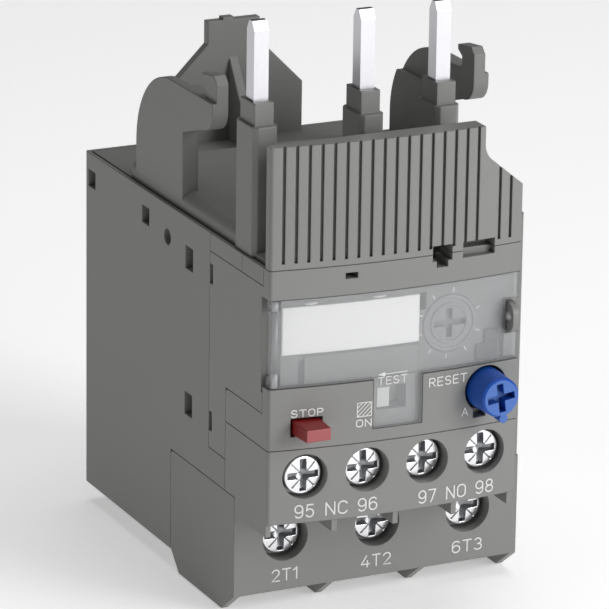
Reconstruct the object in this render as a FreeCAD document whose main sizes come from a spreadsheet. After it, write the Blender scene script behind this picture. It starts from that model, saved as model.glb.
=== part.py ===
import FreeCAD, Part
import math
import os
import Sketcher
from FreeCAD import Placement, Rotation, Vector

# Thermal overload relay for a 45 mm wide motor starter: three contact pins plug into the
# contactor above, three heated bimetal strips push a trip slide, and a front panel carries
# the setting dial, the test slider, the stop button and the reset knob.
#
# Construction frame, in millimetres: X runs right from the left side, Y runs back from the
# left edge of the front panel, and Z runs up from the underside of the housing. Every
# sub-part's Placement then moves it so that the origin lies under the middle of the relay,
# at the level of its feet.

PHASES = (1, 2, 3)
SIGNALS = ("95", "96", "97", "98")

SIZES = [
    # casing
    ("body_width", 45.0),
    ("body_depth", 64.1),
    ("band_height", 4.2),
    ("wall", 1.6),
    ("seam", 0.1),
    ("seam_notch", 0.5),
    ("seam_groove", 0.3),
    ("strip_joint_y", 9.0),
    ("overcut", 1.0),
    ("corner_round", 0.5),
    ("rim_wall", 0.55),
    ("lid_gap", 0.3),
    ("lid_thickness", 2.7),
    ("lid_sink", 2.0),
    ("lid_front", 3.4),
    ("latch_window", 2.6),
    ("latch_window_tall", 3.4),
    ("latch_rear_inset", 2.5),
    ("latch_middle_y", 42.0),
    ("latch_front_y", 26.7),
    ("latch_upper_drop", 3.75),
    ("latch_front_drop", 5.85),
    ("latch_lower_rise", 8.65),
    ("peg_hole_y", 34.3),
    ("peg_hole_drop", 4.75),
    ("peg_hole_r", 1.2),
    ("latch_slot", 2.9),
    ("latch_slot_width", 1.0),
    # front panel and the modules behind it
    ("side_column", 6.9),
    ("front_bulge", 2.0),
    ("panel_thickness", 2.0),
    ("module_depth", 19.6),
    ("shelf_depth", 14.0),
    ("signal_height", 10.31),
    ("step_rise", 4.89),
    ("panel_height", 8.99),
    ("window_height", 12.8),
    ("shoulder_rise", 1.55),
    ("tail_rise", 4.65),
    ("tail_wall", 2.0),
    ("bay_wall", 1.0),
    ("bay_rise", 0.5),
    # lower terminal block
    ("block_front", 10.8),
    ("block_back", 32.6),
    ("block_base", 0.2),
    ("block_height", 15.05),
    ("foot_drop", 2.8),
    ("foot_front", 14.8),
    ("foot_back", 29.6),
    ("foot_width", 1.0),
    # ribbed cover
    ("cover_height", 17.55),
    ("cover_back", 1.5),
    ("rib_count", 21.0),
    ("groove_width", 0.45),
    ("groove_depth", 0.5),
    ("groove_foot", 0.85),
    ("cover_cut_width", 6.3),
    ("cover_cut_drop", 9.1),
    ("cover_cut_slope", 0.81),
    ("cover_cut_round", 3.0),
    # adapter on top: hooks, rear tower, pin columns
    ("deck_front", 12.4),
    ("deck_back", 49.0),
    ("deck_rise", 2.55),
    ("deck_round", 1.6),
    ("hook_thickness", 2.4),
    ("hook_inset", 0.9),
    ("hook_back", 47.5),
    ("hook_rise", 18.05),
    ("hook_round", 12.0),
    ("hook_throat", 31.2),
    ("hook_throat_drop", 6.6),
    ("hook_front", 21.2),
    ("hook_chin_drop", 4.4),
    ("hook_chin_r", 3.0),
    ("hook_ledge_drop", 5.3),
    ("hook_step", 1.0),
    ("finger_width", 3.7),
    ("finger_rise", 3.8),
    ("finger_step", 0.6),
    ("finger_lip", 1.3),
    ("finger_lip_low", 2.0),
    ("finger_lip_mid", 1.2),
    ("finger_lip_high", 0.5),
    ("finger_chamfer", 1.0),
    ("tower_inset", 3.1),
    ("tower_thickness", 1.4),
    ("tower_half_width", 11.3),
    ("tower_half_top", 4.2),
    ("tower_rise", 18.45),
    ("tower_tab_width", 1.8),
    ("tower_tab_height", 0.4),
    ("tower_corner_drop", 10.6),
    ("gusset_thickness", 1.4),
    ("gusset_drop", 5.8),
    ("gusset_foot", 8.3),
    ("pin_x1", 2.25),
    ("pin_2_offset", 4.1),
    ("pin_3_inset", 8.0),
    ("pin_y", 9.55),
    ("pin_width", 2.2),
    ("pin_depth", 2.4),
    ("pin_reach", 11.2),
    ("pin_bevel", 1.3),
    ("pin_bevel_width", 0.72),
    ("pin_play", 0.05),
    ("column_width", 3.7),
    ("column_depth", 6.3),
    ("column_rise", 18.55),
    ("column_bevel", 0.6),
    ("column_lift", 0.1),
    ("collar_width", 2.9),
    ("collar_depth", 4.6),
    ("collar_height", 3.2),
    # window, label and dial
    ("recess_depth", 1.4),
    ("window_thickness", 0.9),
    ("window_gap", 0.15),
    ("tongue_left", 15.25),
    ("tongue_width", 7.4),
    ("tongue_rise", 1.84),
    ("hinge_x", 1.15),
    ("hinge_y", 1.0),
    ("hinge_pin_r", 0.45),
    ("hinge_play", 0.05),
    ("hinge_room", 0.6),
    ("knuckle_r", 0.95),
    ("knuckle_height", 1.6),
    ("lug_inset", 2.0),
    ("lug_thickness", 1.0),
    ("lug_reach", 3.1),
    ("lug_rise", 4.25),
    ("lug_height", 4.3),
    ("lug_nose", 1.7),
    ("lug_hole_r", 0.8),
    ("label_left", 2.3),
    ("label_gap", 0.7),
    ("label_rise", 4.45),
    ("label_height", 6.85),
    ("label_thickness", 0.35),
    ("slit_offset", 4.8),
    ("slit_width", 1.1),
    ("slit_rise", 2.5),
    ("slit_depth", 0.9),
    ("nook_inset", 1.7),
    ("nook_step", 1.1),
    ("nook_width", 2.0),
    ("nook_height", 3.7),
    ("ledge_left", 5.5),
    ("ledge_thickness", 0.25),
    ("ledge_gap", 0.4),
    ("dial_inset", 10.7),
    ("dial_rise", 6.35),
    ("dial_r", 4.2),
    ("dial_length", 5.0),
    ("dial_slot_width", 0.9),
    ("dial_slot_length", 5.6),
    ("dial_slot_short", 4.2),
    ("dial_slot_depth", 0.8),
    ("dial_shaft", 3.2),
    ("dial_cam_r", 3.2),
    ("dial_cam_offset", 1.0),
    ("dial_cam_width", 2.5),
    # buttons and slider
    ("stop_x", 5.45),
    ("stop_rise", 3.19),
    ("stop_width", 4.1),
    ("stop_height", 2.2),
    ("stop_reach", 4.8),
    ("stop_travel", 2.0),
    ("stop_stem", 1.3),
    ("stop_taper", 2.0),
    ("button_play", 0.25),
    ("button_flange", 0.7),
    ("button_flange_thickness", 1.2),
    ("reset_inset", 5.2),
    ("reset_rise", 5.29),
    ("reset_r", 3.15),
    ("reset_front_r", 2.85),
    ("reset_rest_turn", 8.0),
    ("reset_reach", 6.2),
    ("reset_travel", 2.5),
    ("reset_slot_width", 1.0),
    ("reset_slot_length", 4.2),
    ("reset_slot_depth", 1.6),
    ("reset_edge", 0.3),
    ("reset_flange", 0.49),
    ("reset_nub", 0.65),
    ("reset_nub_place", 3.1),
    ("reset_nub_length", 1.6),
    ("reset_relief_width", 2.05),
    ("reset_relief_drop", 4.05),
    ("stem_r", 0.9),
    ("shaft_play", 0.05),
    ("spring_wire", 0.4),
    ("spring_play", 0.15),
    ("spring_pitch", 1.8),
    ("spring_runs", 6.0),
    ("test_left", 16.4),
    ("test_width", 1.9),
    ("test_rise", 4.34),
    ("test_height", 2.9),
    ("test_travel", 2.1),
    ("test_carrier", 1.2),
    ("window_relief", 2.2),
    ("notch_inset", 14.25),
    ("notch_width", 3.05),
    ("notch_depth", 0.95),
    ("notch_stem", 1.8),
    ("notch_stem_depth", 0.9),
    ("notch_rise", 1.2),
    ("pocket_inset", 9.5),
    ("pocket_width", 5.1),
    ("pocket_floor", 1.6),
    ("keyhole_left", 10.75),
    ("keyhole_width", 1.85),
    ("keyhole_height", 0.85),
    ("keyhole_rise", 2.3),
    # terminals
    ("aux_first_x", 5.33),
    ("aux_last_inset", 5.2),
    ("aux_rise", 6.2),
    ("aux_hole_r", 3.25),
    ("aux_fin_drop", 1.95),
    ("aux_skirt", 0.6),
    ("aux_fin", 0.8),
    ("aux_bay_wall", 1.39),
    ("aux_bay_front", 1.5),
    ("aux_bay_back", 9.5),
    ("aux_bay_rise", 3.25),
    ("aux_head_r", 2.85),
    ("aux_head_height", 1.9),
    ("aux_shank_r", 1.5),
    ("aux_screw_front", -0.3),
    ("aux_travel", 3.5),
    ("aux_clamp_size", 6.0),
    ("aux_clamp_thickness", 1.0),
    ("aux_strip_y", 7.4),
    ("aux_strip", 0.9),
    ("aux_strip_width", 3.2),
    ("aux_strip_end", 26.4),
    ("aux_contact_rise", 4.4),
    ("main_margin", 1.5),
    ("main_rise", 7.9),
    ("main_hole_r", 3.5),
    ("main_bay_half", 5.3),
    ("main_roof", 1.45),
    ("main_bay_front", 14.0),
    ("main_head_r", 3.0),
    ("main_head_height", 2.4),
    ("main_sink", 1.5),
    ("main_shank_r", 2.0),
    ("cage_half", 4.6),
    ("cage_wall", 1.2),
    ("cage_drop", 5.5),
    ("cage_rise", 3.3),
    ("cage_front", 19.0),
    ("cage_nut", 2.0),
    ("cage_back", 29.6),
    ("bar_thickness", 1.4),
    ("bar_front", 21.5),
    ("bar_width", 5.0),
    ("bar_rise", 0.6),
    ("bar_end", 46.6),
    # bimetal strips and trip mechanism
    ("strip_y", 41.2),
    ("strip_depth", 5.2),
    ("strip_thickness", 0.8),
    ("strip_drop", 6.25),
    ("strip_lift", 0.1),
    ("winding_wall", 0.6),
    ("winding_turn", 3.4),
    ("winding_pitch", 5.8),
    ("winding_turns", 4.0),
    ("slide_y", 47.6),
    ("slide_depth", 1.8),
    ("slide_height", 2.8),
    ("slide_left", 4.5),
    ("slide_lever_gap", 0.4),
    ("slide_play", 0.3),
    ("slide_finger", 1.0),
    ("rib_wall", 1.2),
    ("lever_offset", 2.95),
    ("lever_y", 38.0),
    ("lever_hub", 3.4),
    ("lever_foot_width", 2.8),
    ("lever_pin_r", 0.8),
    ("lever_arm_width", 1.5),
    ("lever_height", 2.0),
    ("lever_foot_rise", 0.2),
    ("rail_left", 4.0),
    ("post_first", 5.0),
    ("post_last", 7.0),
    ("rail_y", 28.2),
    ("rail_depth", 1.8),
    ("rail_rise", 1.4),
    ("rail_height", 2.8),
    ("contact_gap", 1.2),
    ("bridge", 0.5),
    ("conductor", 1.2),
    ("conductor_drop", 1.45),
]


class Size:
    """A length that carries its value together with the sheet formula behind it."""

    def __init__(self, value, formula):
        self.value = value
        self.formula = formula

    def __add__(self, other):
        other = as_size(other)
        return Size(self.value + other.value, f"({self.formula} + {other.formula})")

    def __radd__(self, other):
        return as_size(other) + self

    def __sub__(self, other):
        other = as_size(other)
        return Size(self.value - other.value, f"({self.formula} - {other.formula})")

    def __rsub__(self, other):
        return as_size(other) - self

    def __mul__(self, other):
        other = as_size(other)
        return Size(self.value * other.value, f"({self.formula} * {other.formula})")

    def __rmul__(self, other):
        return as_size(other) * self

    def __truediv__(self, other):
        other = as_size(other)
        return Size(self.value / other.value, f"({self.formula} / {other.formula})")

    def __neg__(self):
        return Size(-self.value, f"(0 - {self.formula})")


def as_size(number):
    """Turn a plain number into a Size whose formula is that number."""
    if isinstance(number, Size):
        return number
    return Size(float(number), repr(float(number)))


def root(size):
    return Size(math.sqrt(size.value), f"sqrt({size.formula})")


class Sheet:
    """The driving dimensions: one spreadsheet cell and one attribute for each size."""

    def __init__(self, document, rows):
        self.cells = document.addObject("Spreadsheet::Sheet", "Sizes")
        self.used = 0
        for alias, value in rows:
            self.fill(alias, str(value), value)

    def fill(self, alias, content, value):
        self.used += 1
        self.cells.set(f"A{self.used}", alias)
        self.cells.set(f"B{self.used}", content)
        self.cells.setAlias(f"B{self.used}", alias)
        setattr(self, alias, Size(value, f"Sizes.{alias}"))

    def follow(self, alias, size):
        """Add a size that follows from sizes already in the sheet."""
        self.fill(alias, "=" + size.formula.replace("Sizes.", ""), size.value)


doc = FreeCAD.newDocument("overload_relay")
s = Sheet(doc, SIZES)

# Levels, from the underside up: each one stands on the level below it.
s.follow("block_top", s.block_base + s.block_height)
s.follow("housing_floor", s.block_top + s.seam)
s.follow("tail_base", s.housing_floor + s.tail_rise)
s.follow("panel_base", s.housing_floor + s.signal_height)
s.follow("step_level", s.panel_base + s.step_rise)
s.follow("window_base", s.panel_base + s.panel_height)
s.follow("window_top", s.window_base + s.window_height)
s.follow("shoulder_level", s.window_top + s.shoulder_rise)
s.follow("body_height", s.window_top + s.band_height)
s.follow("latch_upper_z", s.body_height - s.latch_upper_drop)
s.follow("latch_front_z", s.body_height - s.latch_front_drop)
s.follow("latch_lower_z", s.housing_floor + s.latch_lower_rise)
s.follow("peg_hole_z", s.body_height - s.peg_hole_drop)
s.follow("cover_top", s.body_height + s.cover_height)
s.follow("cover_cut_level", s.cover_top - s.cover_cut_drop)
s.follow("deck_level", s.body_height + s.deck_rise)
s.follow("hook_level", s.body_height + s.hook_rise)
s.follow("hook_throat_level", s.hook_level - s.hook_throat_drop)
s.follow("hook_chin_level", s.hook_level - s.hook_chin_drop)
s.follow("hook_ledge_level", s.hook_level - s.hook_ledge_drop)
s.follow("finger_level", s.hook_level + s.finger_rise)
s.follow("tower_level", s.body_height + s.tower_rise)
s.follow("tower_corner_level", s.tower_level - s.tower_corner_drop)
s.follow("gusset_level", s.tower_level - s.gusset_drop)
s.follow("column_level", s.body_height + s.column_rise)
s.follow("collar_level", s.column_level + s.collar_height)
s.follow("pin_level", s.collar_level + s.pin_reach)
s.follow("conductor_level", s.body_height - s.conductor_drop)
s.follow("tongue_base", s.panel_base + s.tongue_rise)
s.follow("stop_z", s.panel_base + s.stop_rise)
s.follow("reset_z", s.panel_base + s.reset_rise)
s.follow("test_base", s.panel_base + s.test_rise)
s.follow("lug_level", s.window_base + s.lug_rise)
s.follow("label_base", s.window_base + s.label_rise)
s.follow("dial_z", s.window_base + s.dial_rise)
s.follow("keyhole_level", s.window_top + s.keyhole_rise)
s.follow("aux_base", s.housing_floor - s.aux_skirt)
s.follow("aux_low", s.aux_base - s.aux_fin_drop)
s.follow("aux_z", s.housing_floor + s.aux_rise)
s.follow("aux_bay_top", s.aux_z + s.aux_bay_rise)
s.follow("aux_tail_high", s.aux_bay_top - s.pin_play * 4)
s.follow("aux_tail_low", s.aux_tail_high - s.aux_strip)
s.follow("aux_contact_level", s.aux_tail_high + s.aux_contact_rise)
s.follow("rail_low", s.aux_tail_high + s.rail_rise)
s.follow("lever_foot", s.rail_low + s.lever_foot_rise)
s.follow("main_z", s.block_base + s.main_rise)
s.follow("main_bay_top", s.block_top - s.main_roof)
s.follow("cage_low", s.main_z - s.cage_drop)
s.follow("cage_high", s.main_z + s.cage_rise)
s.follow("bar_level", s.cage_high + s.bar_rise)
s.follow("strip_base", s.bar_level + s.bar_thickness + s.strip_lift)
s.follow("strip_level", s.body_height - s.strip_drop)
s.follow("slide_low", s.strip_level - s.slide_height)

# Places across the width and the depth.
s.follow("middle", s.body_width / 2)
s.follow("panel_width", s.body_width - s.side_column)
s.follow("pin_x2", s.middle - s.pin_2_offset)
s.follow("pin_x3", s.panel_width - s.pin_3_inset)
s.follow("lug_x", s.panel_width - s.lug_inset)
s.follow("dial_x", s.panel_width - s.dial_inset)
s.follow("label_width", s.dial_x - s.dial_r - s.label_gap - s.label_left)
s.follow("reset_x", s.panel_width - s.reset_inset)
s.follow("notch_left", s.panel_width - s.notch_inset)
s.follow("pocket_left", s.panel_width - s.pocket_inset)
s.follow("aux_pitch", (s.panel_width - s.aux_first_x - s.aux_last_inset) / (len(SIGNALS) - 1))
s.follow("aux_bay_half", (s.aux_pitch - s.aux_bay_wall) / 2)
s.follow("main_pitch", (s.body_width - s.main_margin) / len(PHASES))
s.follow("lever_x", s.panel_width + s.lever_offset)
s.follow("slide_right", s.lever_x - s.lever_arm_width / 2 - s.slide_lever_gap)
s.follow("tower_front", s.body_depth - s.tower_inset)
s.follow("latch_rear_y", s.body_depth - s.latch_rear_inset)
s.follow("module_plane", s.module_depth + s.seam)
s.follow("shelf_plane", s.shelf_depth + s.seam)
s.follow("block_plane", s.block_back + s.seam)
s.follow("strip_middle_y", s.strip_y + s.strip_depth / 2)
s.follow("aux_screw_end", s.aux_strip_y + s.aux_strip * 2)
doc.recompute()

middle = s.middle
module_plane = s.module_plane
shelf_plane = s.shelf_plane
block_plane = s.block_plane
housing_floor = s.housing_floor
chamber_floor = housing_floor + s.wall
chamber_sill = s.tail_base - s.seam + s.wall
lid_low = s.body_height - s.lid_sink
lid_top = lid_low + s.lid_thickness
side_left = s.panel_width + s.seam
bay_right = s.panel_width - s.bay_wall
bay_top = s.window_base + s.bay_rise
phase_x = [middle + s.main_pitch * (number - 2) for number in PHASES]
pin_x = [s.pin_x1, s.pin_x2, s.pin_x3]
aux_x = [s.aux_first_x + s.aux_pitch * step for step in range(len(SIGNALS))]

# The front is one shallow bow across the full body width.
s.follow("arc_r", (middle * middle + s.front_bulge * s.front_bulge) / (s.front_bulge * 2))
s.follow("arc_y", s.arc_r - s.front_bulge)
doc.recompute()
arc_r = s.arc_r
arc_y = s.arc_y


def front_y(x, inset=0.0):
    """Y of the bowed front at x, or of the bow that lies inset behind it."""
    radius = arc_r - inset
    return arc_y - root(radius * radius - (x - middle) * (x - middle))


# ---------------------------------------------------------------- drawing

SKETCH_PLANES = {"XY": "XY_Plane", "XZ": "XZ_Plane", "YZ": "YZ_Plane"}
parts = []


class Bow:
    """Marks the edge between two corners of an outline as an arc about a centre."""

    def __init__(self, x, y, radius):
        self.x = as_size(x)
        self.y = as_size(y)
        self.radius = as_size(radius)


class Circle(Bow):
    """A whole circle as a loop of its own."""


def origin_feature(body, role):
    return next(item for item in body.Origin.OriginFeatures if item.Role == role)


def bind(target, path, size):
    """Tie one property of an object to its sheet formula."""
    target.setExpression(path, as_size(size).formula)


def dimension(sketch, kind, geometry, point, size):
    """Hold one coordinate of a sketch point at a sheet formula."""
    size = as_size(size)
    number = sketch.addConstraint(Sketcher.Constraint(kind, -1, 1, geometry, point, size.value))
    bind(sketch, f"Constraints[{number}]", size)


def hold_radius(sketch, geometry, size):
    number = sketch.addConstraint(Sketcher.Constraint("Radius", geometry, size.value))
    bind(sketch, f"Constraints[{number}]", size)


def draw_circle(sketch, circle):
    centre = Vector(circle.x.value, circle.y.value, 0)
    geometry = sketch.addGeometry(Part.Circle(centre, Vector(0, 0, 1), circle.radius.value), False)
    dimension(sketch, "DistanceX", geometry, 3, circle.x)
    dimension(sketch, "DistanceY", geometry, 3, circle.y)
    hold_radius(sketch, geometry, circle.radius)


def draw_arc(sketch, start, end, bow):
    """Add the shorter arc from start to end; return it with the numbers of its two ends."""
    centre = Vector(bow.x.value, bow.y.value, 0)
    first = start - centre
    last = end - centre
    anticlockwise = first.x * last.y - first.y * last.x > 0
    if not anticlockwise:
        first, last = last, first
    circle = Part.Circle(centre, Vector(0, 0, 1), bow.radius.value)
    angles = [math.atan2(ray.y, ray.x) for ray in (first, last)]
    geometry = sketch.addGeometry(Part.ArcOfCircle(circle, angles[0], angles[1]), False)
    return (geometry, 1, 2) if anticlockwise else (geometry, 2, 1)


def draw_outline(sketch, outline):
    """Draw a closed outline: corners as (x, y), with a Bow between the two ends of an arc."""
    corners = []
    bows = {}
    for item in outline:
        if isinstance(item, Bow):
            bows[len(corners) - 1] = item
        else:
            corners.append((as_size(item[0]), as_size(item[1])))
    spots = [Vector(x.value, y.value, 0) for x, y in corners]
    edges = []
    for number, start in enumerate(spots):
        end = spots[(number + 1) % len(spots)]
        if number in bows:
            edges.append(draw_arc(sketch, start, end, bows[number]))
        else:
            edges.append((sketch.addGeometry(Part.LineSegment(start, end), False), 1, 2))
    for number, (geometry, near, far) in enumerate(edges):
        following = edges[(number + 1) % len(edges)]
        sketch.addConstraint(
            Sketcher.Constraint("Coincident", geometry, far, following[0], following[1]))
        dimension(sketch, "DistanceX", geometry, near, corners[number][0])
        dimension(sketch, "DistanceY", geometry, near, corners[number][1])
        if number in bows:
            hold_radius(sketch, geometry, bows[number].radius)


def box(x0, y0, x1, y1):
    return [(x0, y0), (x1, y0), (x1, y1), (x0, y1)]


def centred_box(x, y, width, height):
    return box(x - width / 2, y - height / 2, x + width / 2, y + height / 2)


def bevelled_box(x, y, width, height, bevel):
    """A rectangle about x, y with its four corners cut at 45 degrees."""
    a = width / 2
    b = height / 2
    return [
        (x - a + bevel, y - b), (x + a - bevel, y - b), (x + a, y - b + bevel),
        (x + a, y + b - bevel), (x + a - bevel, y + b), (x - a + bevel, y + b),
        (x - a, y + b - bevel), (x - a, y - b + bevel),
    ]


def bowed_block(x0, x1, back, inset=0.0):
    """Plan outline with the bowed front from x0 to x1 and a straight back."""
    return [
        (x0, front_y(x0, inset)), Bow(middle, arc_y, arc_r - inset),
        (x1, front_y(x1, inset)), (x1, back), (x0, back),
    ]


def bowed_sheet(x0, x1, inset, thickness):
    """Plan outline of a sheet that follows the bowed front at a depth of inset."""
    deep = inset + thickness
    return [
        (x0, front_y(x0, inset)), Bow(middle, arc_y, arc_r - inset),
        (x1, front_y(x1, inset)), (x1, front_y(x1, deep)),
        Bow(middle, arc_y, arc_r - deep), (x0, front_y(x0, deep)),
    ]


# ---------------------------------------------------------------- bodies and features

def place(item, x, y, z, axis=Vector(0, 0, 1), turn=None):
    """Put a sub-part's own origin at x, y, z of the construction frame and list the sub-part."""
    spot = {
        "x": x - middle,
        "y": y - (s.body_depth - s.reset_reach) / 2,
        "z": z + s.foot_drop,
    }
    angle = as_size(turn or 0.0)
    item.Placement = Placement(
        Vector(spot["x"].value, spot["y"].value, spot["z"].value), Rotation(axis, angle.value))
    for letter, size in spot.items():
        bind(item, f"Placement.Base.{letter}", size)
    if turn is not None:
        bind(item, "Placement.Rotation.Angle", angle)
    parts.append(item)


def new_body(label, x=0.0, y=0.0, z=0.0, axis=Vector(0, 0, 1), turn=None):
    """Start a sub-part whose own origin lies at x, y, z of the construction frame."""
    body = doc.addObject("PartDesign::Body", label)
    body.Label = label
    place(body, x, y, z, axis, turn)
    return body


def new_sketch(body, plane, level, loops, turn=None):
    """Draw loops on one of the body's own planes, level along that plane's axis."""
    sketch = body.newObject("Sketcher::SketchObject", "Sketch")
    sketch.AttachmentSupport = [(origin_feature(body, SKETCH_PLANES[plane]), "")]
    sketch.MapMode = "FlatFace"
    lift = -as_size(level) if plane == "XZ" else as_size(level)
    angle = as_size(turn or 0.0)
    sketch.AttachmentOffset = Placement(
        Vector(0, 0, lift.value), Rotation(Vector(0, 0, 1), angle.value))
    bind(sketch, "AttachmentOffset.Base.z", lift)
    if turn is not None:
        bind(sketch, "AttachmentOffset.Rotation.Angle", angle)
    for loop in loops:
        if isinstance(loop, Circle):
            draw_circle(sketch, loop)
        else:
            draw_outline(sketch, loop)
    return sketch


def finish(body, feature, adds):
    """Recompute, make the feature the body's tip and compare the volume before and after."""
    before = 0.0 if body.Shape.isNull() else body.Shape.Volume
    doc.recompute()
    body.Tip = feature
    doc.recompute()
    change = body.Shape.Volume - before
    if change * (1 if adds else -1) < 1e-6:
        print(f"{body.Label} {feature.Name}: volume changed by {change:.4f}")
    return feature


def pad(body, plane, loops, start, end, turn=None):
    """Add the loops' solid between two levels along the plane's axis."""
    feature = body.newObject("PartDesign::Pad", "Pad")
    feature.Profile = new_sketch(body, plane, start, loops, turn)
    feature.Length = (as_size(end) - start).value
    bind(feature, "Length", as_size(end) - start)
    feature.Reversed = plane == "XZ"
    return finish(body, feature, True)


def pocket(body, plane, loops, start, end, turn=None):
    """Cut the loops' solid away between two levels along the plane's axis."""
    feature = body.newObject("PartDesign::Pocket", "Pocket")
    feature.Profile = new_sketch(body, plane, start, loops, turn)
    feature.Length = (as_size(end) - start).value
    bind(feature, "Length", as_size(end) - start)
    feature.Reversed = plane != "XZ"
    return finish(body, feature, False)


def revolve(body, outline):
    """Turn an outline, drawn as (distance along Y, radius), about the body's Y axis."""
    feature = body.newObject("PartDesign::Revolution", "Turned")
    feature.Profile = new_sketch(body, "YZ", 0.0, [outline])
    feature.ReferenceAxis = (origin_feature(body, "Y_Axis"), [""])
    feature.Angle = 360
    return finish(body, feature, True)


def repeat(body, features, axis, pitch, count, adds):
    """Repeat features along an axis of the body at a fixed pitch."""
    pattern = body.newObject("PartDesign::LinearPattern", "Row")
    pattern.Originals = features
    pattern.Direction = (origin_feature(body, axis), [""])
    pattern.Occurrences = int(round(as_size(count).value))
    bind(pattern, "Occurrences", count)
    pattern.Length = (pitch * (as_size(count) - 1)).value
    bind(pattern, "Length", pitch * (as_size(count) - 1))
    return finish(body, pattern, adds)


def repeat_round(body, features, pitch_angle, count, adds):
    """Repeat features about the body's Z axis at a fixed angle."""
    pattern = body.newObject("PartDesign::PolarPattern", "Fan")
    pattern.Originals = features
    pattern.Axis = (origin_feature(body, "Z_Axis"), [""])
    pattern.Occurrences = int(round(as_size(count).value))
    bind(pattern, "Occurrences", count)
    pattern.Angle = (pitch_angle * (as_size(count) - 1)).value
    bind(pattern, "Angle", pitch_angle * (as_size(count) - 1))
    return finish(body, pattern, adds)


def mirror(body, features, adds):
    """Mirror features in the body's own YZ plane."""
    mirrored = body.newObject("PartDesign::Mirrored", "Mirrored")
    mirrored.Originals = features
    mirrored.MirrorPlane = (origin_feature(body, "YZ_Plane"), [""])
    return finish(body, mirrored, adds)


def edges_along(body, axis, spots):
    """Names of the straight edges along an axis that pass through the given spots."""
    others = [number for number in range(3) if number != "XYZ".index(axis)]
    names = []
    for number, edge in enumerate(body.Tip.Shape.Edges, start=1):
        ends = [vertex.Point for vertex in edge.Vertexes]
        if len(ends) != 2 or edge.Curve.TypeId != "Part::GeomLine":
            continue
        if any(abs(ends[0][other] - ends[1][other]) > 1e-5 for other in others):
            continue
        for spot in spots:
            gaps = [abs(ends[0][other] - as_size(want).value) for other, want in zip(others, spot)]
            if max(gaps) < 1e-4:
                names.append(f"Edge{number}")
    return names


def dress(body, kind, names, size):
    """Fillet or chamfer named edges of the body's tip."""
    base = body.Tip
    feature = body.newObject(f"PartDesign::{kind}", kind)
    feature.Base = (base, names)
    field = "Radius" if kind == "Fillet" else "Size"
    setattr(feature, field, as_size(size).value)
    bind(feature, field, size)
    doc.recompute()
    body.Tip = feature
    doc.recompute()
    return feature


def coil(label, x, z, start, end, radius):
    """A compression spring along Y between two levels, bent from square wire in short runs.

    The runs are straight, since a swept curve would need far more facets than all the
    rest of the relay; no sketched feature follows such a path, so this is a plain shape.
    """
    half = s.spring_wire.value / 2
    length = (end - start - s.spring_wire).value
    runs = int(round(length / s.spring_pitch.value * s.spring_runs.value))
    corners = []
    for run in range(runs + 1):
        angle = 2 * math.pi * run / s.spring_runs.value
        corners.append(Vector(
            radius.value * math.cos(angle), half + length * run / runs,
            radius.value * math.sin(angle)))
    ends = [(-half, 0.0), (half, 0.0), (half, 2 * half), (-half, 2 * half), (-half, 0.0)]
    section = Part.makePolygon([Vector(radius.value + dx, y, 0) for dx, y in ends])
    sweep = Part.BRepOffsetAPI.MakePipeShell(Part.makePolygon(corners))
    sweep.setTransitionMode(1)
    sweep.setFrenetMode(True)
    sweep.add(section)
    sweep.build()
    sweep.makeSolid()
    spring = doc.addObject("Part::Feature", label)
    spring.Label = label
    spring.Shape = sweep.shape()
    place(spring, x, start, z)
    return spring


# ---------------------------------------------------------------- casing

def round_left_corner(body):
    """Round the upright edge where the bowed front meets the left side."""
    edge = edges_along(body, "Z", [(0, front_y(as_size(0)))])
    dress(body, "Fillet", edge, s.corner_round)


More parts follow.
